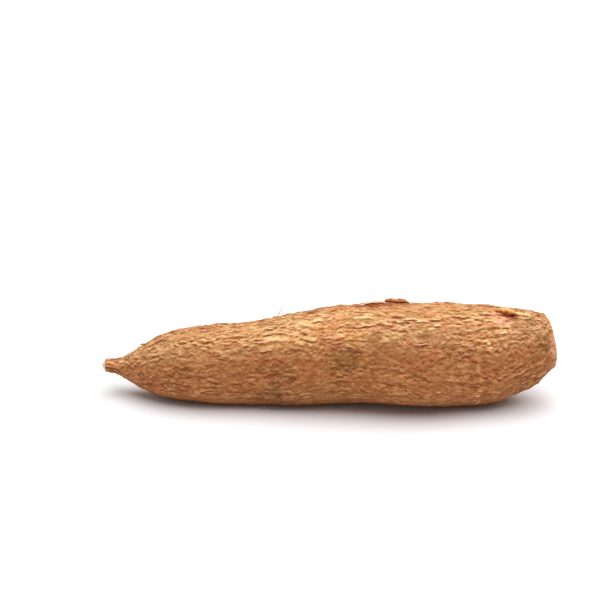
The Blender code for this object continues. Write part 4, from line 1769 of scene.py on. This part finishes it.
@dataclass
class LooseFlakes:
    """Many thin scales of bark that have come loose along their lower edge."""

    form: RootForm
    kinds: int = 6
    length: float = 0.0062
    width: float = 0.0017
    thickness: float = 0.00018
    lift: float = 0.00032
    sunk: float = 0.00030
    spacing: float = 0.0030
    density: float = 22000.0
    turn: float = 12.0
    tip: tuple[float, float] = (-0.10, 0.16)
    smallest: tuple[float, float, float] = (0.45, 0.55, 0.6)
    largest: tuple[float, float, float] = (1.35, 1.35, 1.3)
    tint: tuple[float, float] = (-0.16, 0.20)
    seed: int = 11

    def build(self, skin: Piece, material: Material) -> Piece:
        """Scatters the flakes over the finished bark.

        Args:
            skin: The bark, with its attributes.
            material: The flakes' finish.

        Returns:
            The object with every flake.
        """
        flakes = bpy.data.collections.new("flake_kinds")
        draw = random.Random(self.seed)
        kinds = [self._kind(i, draw) for i in range(self.kinds)]
        for kind in kinds:
            bpy.context.scene.collection.objects.unlink(kind)
            flakes.objects.link(kind)
        piece = bpy.data.objects.new("loose_flakes", skin.data.copy())
        bpy.context.scene.collection.objects.link(piece)
        self._scatter_tree(flakes, material).run(piece)
        for kind in kinds:
            bpy.data.objects.remove(kind)
        bpy.data.collections.remove(flakes)
        return piece

    def _kind(self, number: int, draw: random.Random) -> Piece:
        """Builds one flake, whose rooted edge lies at +Y and whose free edge lies at -Y.

        Args:
            number: The flake's number.
            draw: Where the raggedness of its edge comes from.

        Returns:
            The flake, a closed thin shell.
        """
        columns, rows = 8, 3
        top = np.zeros((rows, columns, 3))
        leans = draw.uniform(-0.25, 0.25)
        for j in range(columns):
            u = 2 * j / (columns - 1) - 1
            outline = max(1 - abs(u) ** 2.4, 0.0) ** 0.7
            ragged = 1 + draw.uniform(-0.35, 0.25)
            for i in range(rows):
                v = i / (rows - 1)
                across = 0.5 - v * (0.5 + 0.5 * ragged)
                rise = -self.sunk + (self.sunk + self.lift * (0.6 + 0.8 * draw.random())) * v**0.8 * outline
                y = self.width * (across * outline + leans * u)
                top[i, j] = (0.5 * self.length * u, y, rise)
        under = top.copy()
        under[..., 2] -= self.thickness
        points = np.concatenate([top.reshape(-1, 3), under.reshape(-1, 3)])
        flake = piece_from(f"flake_kind_{number}", points, shell_faces(rows, columns))
        turn_outwards(flake)
        flake.data.set_sharp_from_angle(angle=SHARP_FROM)
        return flake

    def _scatter_tree(self, flakes: bpy.types.Collection, material: Material) -> GeometryTree:
        """Builds the tree that scatters flakes over the bark and turns them to lie along the root.

        Args:
            flakes: The kinds of flake.
            material: Their finish.

        Returns:
            The tree, ready to run.
        """
        tree = GeometryTree(
            "flake_scatter",
            {
                "Spacing": self.spacing,
                "Density": self.density,
                "Turn": math.radians(self.turn),
                "Seed": self.seed,
                "Flakes": flakes,
                "Material": material,
            },
        )
        size = tree.inputs
        spread = {
            "Mesh": size["Geometry"],
            "Distance Min": size["Spacing"],
            "Density Max": size["Density"],
            "Density Factor": tree.attribute("flaky"),
            "Seed": size["Seed"],
        }
        spots = tree.fed("GeometryNodeDistributePointsOnFaces", spread, distribute_method="POISSON")
        outwards = tree.attribute("outwards", "FLOAT_VECTOR")
        align = "FunctionNodeAlignRotationToVector"
        upright = tree.fed(align, {"Vector": outwards}, axis="Z").outputs[0]
        lengthwise = {"Rotation": upright, "Vector": (1.0, 0.0, 0.0)}
        lined_up = tree.fed(align, lengthwise, axis="X", pivot_axis="Z").outputs[0]
        behind = tree.remap(tree.parts(outwards)[1], 0.66, 0.67, 0.0, math.pi)
        sway = tree.random("FLOAT", -1.0, 1.0, self.seed)
        turned = tree.total(behind, tree.times(sway, size["Turn"]))
        tipped = tree.random("FLOAT", *self.tip, self.seed + 1)
        by = tree.fed("FunctionNodeEulerToRotation", {0: tree.vector_of(tipped, 0.0, turned)}).outputs[0]
        rotation = tree.fed("FunctionNodeRotateRotation", {0: lined_up, 1: by}, rotation_space="LOCAL")
        kinds = {"Collection": size["Flakes"], "Separate Children": True, "Reset Children": True}
        placing = {
            "Points": spots.outputs["Points"],
            "Instance": tree.fed("GeometryNodeCollectionInfo", kinds).outputs[0],
            "Pick Instance": True,
            "Instance Index": tree.random("INT", 0, self.kinds - 1, self.seed + 2),
            "Rotation": rotation.outputs[0],
            "Scale": tree.random("FLOAT_VECTOR", self.smallest, self.largest, self.seed + 3),
        }
        placed = tree.fed("GeometryNodeInstanceOnPoints", placing).outputs[0]
        tint = tree.random("FLOAT", *self.tint, self.seed + 4)
        tree.finish(tree.stored(placed, "tint", tint, "INSTANCE"))
        return tree


@dataclass(frozen=True)
class BarkPlates:
    """The plates of bark that stand out: thin shells, rooted above and loose along their lower edge."""

    form: RootForm
    ledges: tuple[Ledge, ...]
    rows: int = 5
    columns: int = 15
    thickness: float = 0.00022
    sunk: float = 0.00035
    low_edge: float = 0.00020
    high_edge: float = 0.00048
    tint: tuple[float, float] = (-0.06, 0.22)

    def build(self, material: Material) -> Piece:
        """Builds every plate.

        Args:
            material: The plates' finish.

        Returns:
            The object, which keeps the tint of each plate and how far up the root it lies.
        """
        shells = [self._shell(ledge) for ledge in self.ledges]
        size = 2 * self.rows * self.columns
        one_shell = shell_faces(self.rows, self.columns)
        faces = [tuple(first * size + k for k in face) for first in range(len(shells)) for face in one_shell]
        piece = piece_from("bark_plates", np.concatenate(shells), faces, material)
        turn_outwards(piece)
        piece.data.set_sharp_from_angle(angle=SHARP_FROM)
        low, high = self.tint
        tints = [low + (high - low) * ledge.pale for ledge in self.ledges]
        up = [share_of_top(math.sin(math.radians(ledge.around))) for ledge in self.ledges]
        keep_attribute(piece, "tint", np.repeat(tints, size))
        keep_attribute(piece, "topness", np.repeat(up, size))
        return piece

    def _shell(self, ledge: Ledge) -> Array:
        """Sets out one plate.

        Args:
            ledge: The plate's place and size.

        Returns:
            The points of its upper side, then those of its lower side.
        """
        share = np.linspace(-1.0, 1.0, self.columns)[None, :]
        across = np.linspace(0.0, 1.0, self.rows)[:, None]
        outline = np.maximum(1 - np.abs(share) ** 3, 0.0) ** 0.6
        along = ledge.along + share * ledge.length / 2
        down = ledge.edge(along) - ledge.width * (1 - across) * outline
        edge = self.low_edge + (self.high_edge - self.low_edge) * min(ledge.dark, 1.0)
        rise = (edge + self.sunk) * across**1.3 * outline - self.sunk
        around = math.radians(ledge.around) - down / self.form.girth(along)
        along = np.broadcast_to(along, down.shape)
        heights = (rise, rise - self.thickness)
        return np.concatenate([self.form.points(along, around, high).reshape(-1, 3) for high in heights])


Profile = tuple[tuple[float, float], ...]


def rolled(radius: float, degrees: float, steps: int = 11) -> Profile:
    """A profile that leaves the bark and rolls up and back.

    Args:
        radius: Radius of the roll, in millimetres.
        degrees: How far it turns.
        steps: How many steps it has.

    Returns:
        Points across the curl: the distance down the bark and the height above it, in millimetres.
    """
    turns = [math.radians(degrees) * i / steps for i in range(steps + 1)]
    return tuple((radius * math.sin(t), radius * (1 - math.cos(t)) - 0.25) for t in turns)


def arched(width: float, height: float, edge: float, steps: int = 11) -> Profile:
    """A profile that rises from the bark and arches down to a loose lower edge.

    Args:
        width: Width of the plate, in millimetres.
        height: How high its middle stands, in millimetres.
        edge: How high its free edge stands, in millimetres.
        steps: How many steps it has.

    Returns:
        Points across the plate: the distance down the bark and the height above it, in millimetres.
    """
    shares = [i / steps for i in range(steps + 1)]
    rises = [(1 - s) * -0.3 + s * edge + 4 * s * (1 - s) * (height - 0.5 * (edge - 0.3)) for s in shares]
    return tuple((width * share, rise) for share, rise in zip(shares, rises))


@dataclass(frozen=True)
class BarkCurl:
    """A strip of bark that has come off along one edge and curls away from the root."""

    name: str
    start: tuple[float, float]
    end: tuple[float, float]
    profiles: tuple[tuple[float, Profile], ...]
    steps: int = 34
    thickness: float = 0.00028
    waviness: float = 0.00018
    seed: float = 0.0

    def build(self, form: RootForm, material: Material) -> Piece:
        """Builds the strip as a thin closed shell.

        Args:
            form: The root that it sits on.
            material: The strip's finish.

        Returns:
            The object.
        """
        outer, inner = [], []
        for step in range(self.steps + 1):
            share = step / self.steps
            profile = self._profile(share)
            slope = np.gradient(profile, axis=0)
            slope /= np.maximum(np.linalg.norm(slope, axis=1, keepdims=True), 1e-9)
            normal = np.stack([-slope[:, 1], slope[:, 0]], axis=1)
            half = 0.5 * self.thickness * min(1.0, 8 * share + 0.15, 8 * (1 - share) + 0.15)
            wave = self.waviness * noise.noise(Vector((9 * share, self.seed, 0.0)))
            outer.append(self._placed(form, share, profile + half * normal, wave))
            inner.append(self._placed(form, share, profile - half * normal, wave))
        rows = [np.concatenate([a, b[::-1]]) for a, b in zip(outer, inner)]
        return closed_piece(self.name, rows, material)

    def _profile(self, share: float) -> Array:
        """Blends the profiles on either side of a place along the strip.

        Args:
            share: The place, 0 at the start and 1 at the end.

        Returns:
            The profile's points, in metres.
        """
        places = [at for at, _ in self.profiles]
        stack = np.array([profile for _, profile in self.profiles])
        upper = min(max(int(np.searchsorted(places, share)), 1), len(places) - 1)
        t = (share - places[upper - 1]) / (places[upper] - places[upper - 1])
        t = float(smooth_step(0.0, 1.0, t))
        return 0.001 * (stack[upper - 1] * (1 - t) + stack[upper] * t)

    def _placed(self, form: RootForm, share: float, profile: Array, wave: float) -> Array:
        """Puts a profile on the bark.

        Args:
            form: The root.
            share: The place along the strip.
            profile: Distance down the bark and height above it, for each point.
            wave: How far the strip wanders sideways here.

        Returns:
            The points.
        """
        along = self.start[0] + (self.end[0] - self.start[0]) * share
        around = math.radians(self.start[1] + (self.end[1] - self.start[1]) * share)
        down = profile[:, 0] + wave
        turned = around - down / float(form.girth(along))
        return form.points(np.full(len(profile), along), turned, profile[:, 1])


ROLLED_FLAP = BarkCurl(
    "rolled_flap",
    (0.2415, 91.0),
    (0.2565, 79.5),
    (
        (0.0, rolled(0.25, 110)),
        (0.10, rolled(0.90, 165)),
        (0.30, rolled(1.60, 185)),
        (0.52, rolled(1.90, 180)),
        (0.72, rolled(1.75, 165)),
        (0.88, rolled(1.10, 150)),
        (1.0, rolled(0.30, 100)),
    ),
    seed=1.3,
)
FLAP_CRUMB = BarkCurl(
    "flap_crumb",
    (0.2530, 89.5),
    (0.2632, 85.0),
    (
        (0.0, arched(1.6, 0.3, -0.1)),
        (0.20, arched(3.8, 1.3, 0.3)),
        (0.45, arched(3.0, 0.7, -0.1)),
        (0.70, arched(3.8, 1.2, 0.2)),
        (1.0, arched(1.4, 0.1, -0.2)),
    ),
    steps=24,
    waviness=0.0005,
    seed=9.2,
)
TOP_FLAKE = BarkCurl(
    "top_flake",
    (0.1585, 98.0),
    (0.1745, 99.5),
    (
        (0.0, arched(3.0, 0.1, -0.2)),
        (0.09, arched(4.4, 0.9, 0.30)),
        (0.17, arched(3.8, 0.4, 0.1)),
        (0.28, arched(4.4, 1.1, 0.55)),
        (0.60, arched(4.2, 1.2, 0.55)),
        (0.85, arched(3.6, 1.0, 0.40)),
        (1.0, arched(2.4, 0.3, -0.1)),
    ),
    steps=40,
    seed=4.1,
)
TOP_ROLL = BarkCurl(
    "top_roll",
    (0.1732, 101.5),
    (0.1898, 102.0),
    (
        (0.0, rolled(0.35, 110)),
        (0.14, rolled(1.10, 170)),
        (0.30, rolled(1.35, 200)),
        (0.45, rolled(1.20, 170)),
        (0.60, rolled(1.50, 205)),
        (0.78, rolled(1.40, 190)),
        (0.92, rolled(0.85, 150)),
        (1.0, rolled(0.25, 90)),
    ),
    waviness=0.0005,
    seed=7.7,
)


@dataclass(frozen=True)
class HairRoot:
    """A dry root hair or the stub of a side root."""

    along: float
    around: float
    length: float
    radius: float
    lean_along: float
    lean_around: float
    rise: float


HAIR_ROOTS = (
    HairRoot(0.2322, -41.0, 0.0052, 0.00054, -0.55, -0.60, 0.22),
    HairRoot(0.1085, 106.0, 0.0072, 0.00034, 0.75, 0.10, 0.70),
    HairRoot(0.0600, 165.0, 0.0065, 0.00060, -0.8, 0.0, 0.45),
    HairRoot(0.1930, 204.0, 0.0080, 0.00060, -0.8, 0.0, 0.45),
    HairRoot(0.2292, -40.0, 0.0036, 0.00040, 0.60, -0.55, 0.20),
    HairRoot(0.2312, -46.0, 0.0034, 0.00024, -0.70, -0.20, 0.25),
    HairRoot(0.1110, 104.0, 0.0060, 0.00020, 0.65, 0.30, 0.55),
)


@dataclass
class HairRoots:
    """The stubs of side roots and the fine dry hairs."""

    form: RootForm
    hairs: tuple[HairRoot, ...] = HAIR_ROOTS
    extra: int = 18
    steps: int = 9
    sides: int = 7
    seed: int = 5

    def build(self, material: Material) -> Piece:
        """Builds every hair from its middle line.

        Args:
            material: The hairs' finish.

        Returns:
            The object.
        """
        points, edges, radii = [], [], []
        for hair in [*self.hairs, *self._drawn()]:
            first = len(points)
            for step in range(self.steps + 1):
                share = step / self.steps
                points.append(self._point(hair, share))
                radii.append(hair.radius * (1 - 0.65 * share))
                if step:
                    edges.append((first + step - 1, first + step))
        mesh = bpy.data.meshes.new("hair_roots")
        mesh.from_pydata(points, edges, [])
        piece = bpy.data.objects.new("hair_roots", mesh)
        bpy.context.scene.collection.objects.link(piece)
        keep_attribute(piece, "hair_radius", np.array(radii))
        self._tube_tree(material).run(piece)
        return piece

    def _drawn(self) -> list[HairRoot]:
        """Draws some more fine hairs all over the root."""
        draw = random.Random(self.seed)
        drawn = []
        for _ in range(self.extra):
            along = draw.uniform(0.02, 0.26)
            around = draw.uniform(95, 240)
            length = draw.uniform(0.0025, 0.0055)
            radius = draw.uniform(0.00012, 0.00020)
            lean = (draw.uniform(-1, 1), draw.uniform(-0.7, 0.7))
            drawn.append(HairRoot(along, around, length, radius, *lean, draw.uniform(0.1, 0.35)))
        return drawn

    def _point(self, hair: HairRoot, share: float) -> tuple[float, float, float]:
        """Where a hair's middle line is at this share of its length."""
        along = hair.along + hair.lean_along * hair.length * share**1.6
        turn = hair.lean_around * hair.length * share**1.4 / float(self.form.girth(along))
        above = hair.rise * hair.length * math.sin(1.7 * share) - 0.0008 * (1 - share)
        spot = self.form.points(np.array(along), np.array(math.radians(hair.around) + turn), above)
        return tuple(float(value) for value in spot)

    def _tube_tree(self, material: Material) -> GeometryTree:
        """Builds the tree that turns the middle lines into tapering tubes.

        Args:
            material: The hairs' finish.

        Returns:
            The tree, ready to run.
        """
        tree = GeometryTree("hair_tubes", {"Sides": self.sides, "Material": material})
        radius = tree.attribute("hair_radius")
        curves = tree.fed("GeometryNodeMeshToCurve", {0: tree.inputs["Geometry"]}).outputs[0]
        thick = tree.fed("GeometryNodeSetCurveRadius", {"Curve": curves, "Radius": radius}).outputs[0]
        circle = {"Resolution": tree.inputs["Sides"], "Radius": 1.0}
        ring = tree.fed("GeometryNodeCurvePrimitiveCircle", circle).outputs[0]
        sources = {"Curve": thick, "Profile Curve": ring, "Fill Caps": True}
        tube = tree.fed("GeometryNodeCurveToMesh", sources)
        if "Scale" in tube.inputs:
            tree.feed(tube.inputs["Scale"], radius)
        tree.finish(tube.outputs[0])
        return tree


def end_face(name: str, back: Array, rows: list[Array], shares: Array, material: Material) -> Piece:
    """Makes the closed piece that ends the root, and keeps how far towards the rim each point lies.

    Args:
        name: The object's name.
        back: The ring behind the face.
        rows: The rings of the face, from the rim inwards.
        shares: How far out each of them lies, 0 to 1.
        material: The flesh's finish.

    Returns:
        The object.
    """
    face = closed_piece(name, [back, *rows], material)
    out = np.repeat([1.0, *shares], len(back))
    keep_attribute(face, "towards_rim", np.concatenate([out, [1.0, 0.0]]))
    return face


@dataclass
class CutFace:
    """The face of the stem's cut: flesh a little below the rim, with fine saw marks."""

    form: RootForm
    inset: float = 0.00035
    sunk: float = 0.0005
    peel: float = 0.0022
    depth: float = 0.0016
    roughness: float = 0.00010
    saw_mark: float = 0.00006
    rings: int = 34
    sides: int = 160

    def build(self, material: Material) -> Piece:
        """Builds the face as a thin closed disc.

        Args:
            material: The cut's finish.

        Returns:
            The object.
        """
        around = all_round(self.sides)
        rim = self.form.points(np.full(self.sides, self.form.length), around)
        middle = rim.mean(axis=0)
        reach = float(np.linalg.norm((rim - middle)[:, 1:], axis=1).mean())
        shares = np.linspace(1 - self.inset / reach, 0.02, self.rings)
        rows = [middle + (rim - middle) * share for share in shares]
        for row, share in zip(rows, shares):
            row[:, 0] += self._height(row, float(share), reach)
        back = rows[0] - np.array([self.depth, 0.0, 0.0])
        return end_face("stem_cut", back, rows, shares, material)

    def _height(self, row: Array, share: float, reach: float) -> Array:
        """How far a row of the face stands out, with its flesh sunk and its surface uneven.

        Args:
            row: The row's points.
            share: How far out the row lies, 0 to 1.
            reach: The mean radius of the face.

        Returns:
            The distance along the root for each point.
        """
        step = smooth_step(1 - 1.15 * self.peel / reach, 1 - 0.85 * self.peel / reach, share)
        heights = []
        for point in row:
            rough = noise.noise(Vector(point) * 700) * self.roughness
            saw = self.saw_mark * math.sin(5200 * point[2] + 3 * noise.noise(Vector(point) * 150))
            heights.append(rough + saw)
        return np.array(heights) - self.sunk * (1 - float(step))


@dataclass
class TailBreak:
    """The snapped tail: a short splintered cone of flesh."""

    form: RootForm
    rings: int = 12
    sides: int = 90
    depth: float = 0.0015

    def build(self, material: Material) -> Piece:
        """Builds the broken end as a closed piece.

        Args:
            material: The flesh's finish.

        Returns:
            The object.
        """
        around = all_round(self.sides)
        rim = self.form.points(np.zeros(self.sides), around)
        middle = rim.mean(axis=0)
        shares = np.linspace(0.93, 0.06, self.rings)
        rows = []
        for share in shares:
            row = middle + (rim - middle) * share
            fibres = [noise.noise(Vector((5 * math.cos(a), 5 * math.sin(a), 9 * share))) for a in around]
            splinters = 0.75 + 0.35 * np.array(fibres)
            row[:, 0] = middle[0] - self.form.tail_cone * (1 - share) ** 0.7 * splinters
            rows.append(row)
        back = rows[0].copy()
        back[:, 0] = middle[0] + self.depth
        return end_face("tail_break", back, rows, shares, material)


@dataclass(frozen=True)
class Studio:
    """The plain floor, the soft light and the camera at the photo's angle."""

    sight: Sight = Sight()
    floor_size: float = 14.0
    floor_drop: float = 0.0003
    floor_shade: Colour = (0.86, 0.86, 0.875, 1.0)
    floor_roughness: float = 0.9
    floor_gloss: float = 0.1
    surround: float = 0.32
    overhead: float = 3.48
    softness: float = 84.0
    light_from: tuple[float, float, float] = (0.22, 0.01, 1.0)

    def set_up(self) -> None:
        """Makes the floor, the light and the camera."""
        self._floor()
        self._light()
        self._camera()

    def _floor(self) -> None:
        """Makes the pale floor."""
        half = self.floor_size / 2
        corners = [(-half, -half), (half, -half), (half, half), (-half, half)]
        points = np.array([[x, y, -self.floor_drop] for x, y in corners])
        surface = SurfaceTree("pale_floor")
        surface.coat(self.floor_shade, self.floor_roughness, self.floor_gloss)
        floor = piece_from("floor", points, [(0, 1, 2, 3)], surface.material)

    def _light(self) -> None:
        """Makes the white surroundings and a large soft light overhead."""
        world = bpy.data.worlds.new("studio")
        world.use_nodes = True
        background = world.node_tree.nodes["Background"]
        background.inputs["Color"].default_value = (1.0, 1.0, 1.0, 1.0)
        background.inputs["Strength"].default_value = self.surround
        bpy.context.scene.world = world
        lamp = bpy.data.lights.new("overhead", "SUN")
        lamp.energy = self.overhead
        lamp.angle = math.radians(self.softness)
        light = bpy.data.objects.new("overhead", lamp)
        light.rotation_euler = (-Vector(self.light_from)).to_track_quat("-Z", "Y").to_euler()
        bpy.context.scene.collection.objects.link(light)

    def _camera(self) -> None:
        """Puts the camera where the photo was taken from."""
        data = bpy.data.cameras.new("camera")
        data.lens = self.sight.lens
        data.sensor_width = self.sight.sensor
        camera = bpy.data.objects.new("camera", data)
        tilt = math.radians(self.sight.elevation)
        aim = Vector(self.sight.aim)
        camera.location = aim + self.sight.distance * Vector((0.0, -math.cos(tilt), math.sin(tilt)))
        camera.rotation_euler = (aim - camera.location).to_track_quat("-Z", "Y").to_euler()
        bpy.context.scene.collection.objects.link(camera)
        bpy.context.scene.camera = camera


def hand_over(piece: Piece, stands_for_node: bool = False) -> None:
    """Tells the frame what a finished piece rides on and stands for.

    Args:
        piece: The finished object.
        stands_for_node: Whether it is part of what replaces the root's plain solid.
    """
    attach(piece, BODY)
    if stands_for_node:
        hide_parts(NODE)
    log.info("%s: %d faces", piece.name, len(piece.data.polygons))


def main() -> None:
    """Builds every piece in order and hands it over."""
    logging.basicConfig(level=logging.INFO, format="%(message)s")
    bpy.context.scene.view_settings.view_transform = "Standard"
    form = RootForm()
    log.info("form: %.1f mm long", 1000 * form.length)
    pattern = BarkPattern()
    cut = CutFinish().material()
    marks = SeenBark(form).marks()
    skin = BarkSkin(form, pattern, marks).build(BarkFinish(pattern).material())
    hand_over(skin, True)
    hand_over(CutFace(form).build(cut), True)
    hand_over(TailBreak(form).build(cut), True)
    hand_over(LooseFlakes(form).build(skin, FlakeFinish().material()))
    hand_over(BarkPlates(form, marks.ledges).build(PLATE_FINISH.material()))
    hand_over(ROLLED_FLAP.build(form, PEELED_BARK.material()))
    hand_over(FLAP_CRUMB.build(form, CRUMBLED_BARK.material()))
    hand_over(TOP_FLAKE.build(form, CURLED_BARK.material()))
    hand_over(TOP_ROLL.build(form, ROLLED_BARK.material()))
    hand_over(HairRoots(form).build(HairFinish().material()))
    Studio().set_up()


if __name__ == "__main__":
    main()
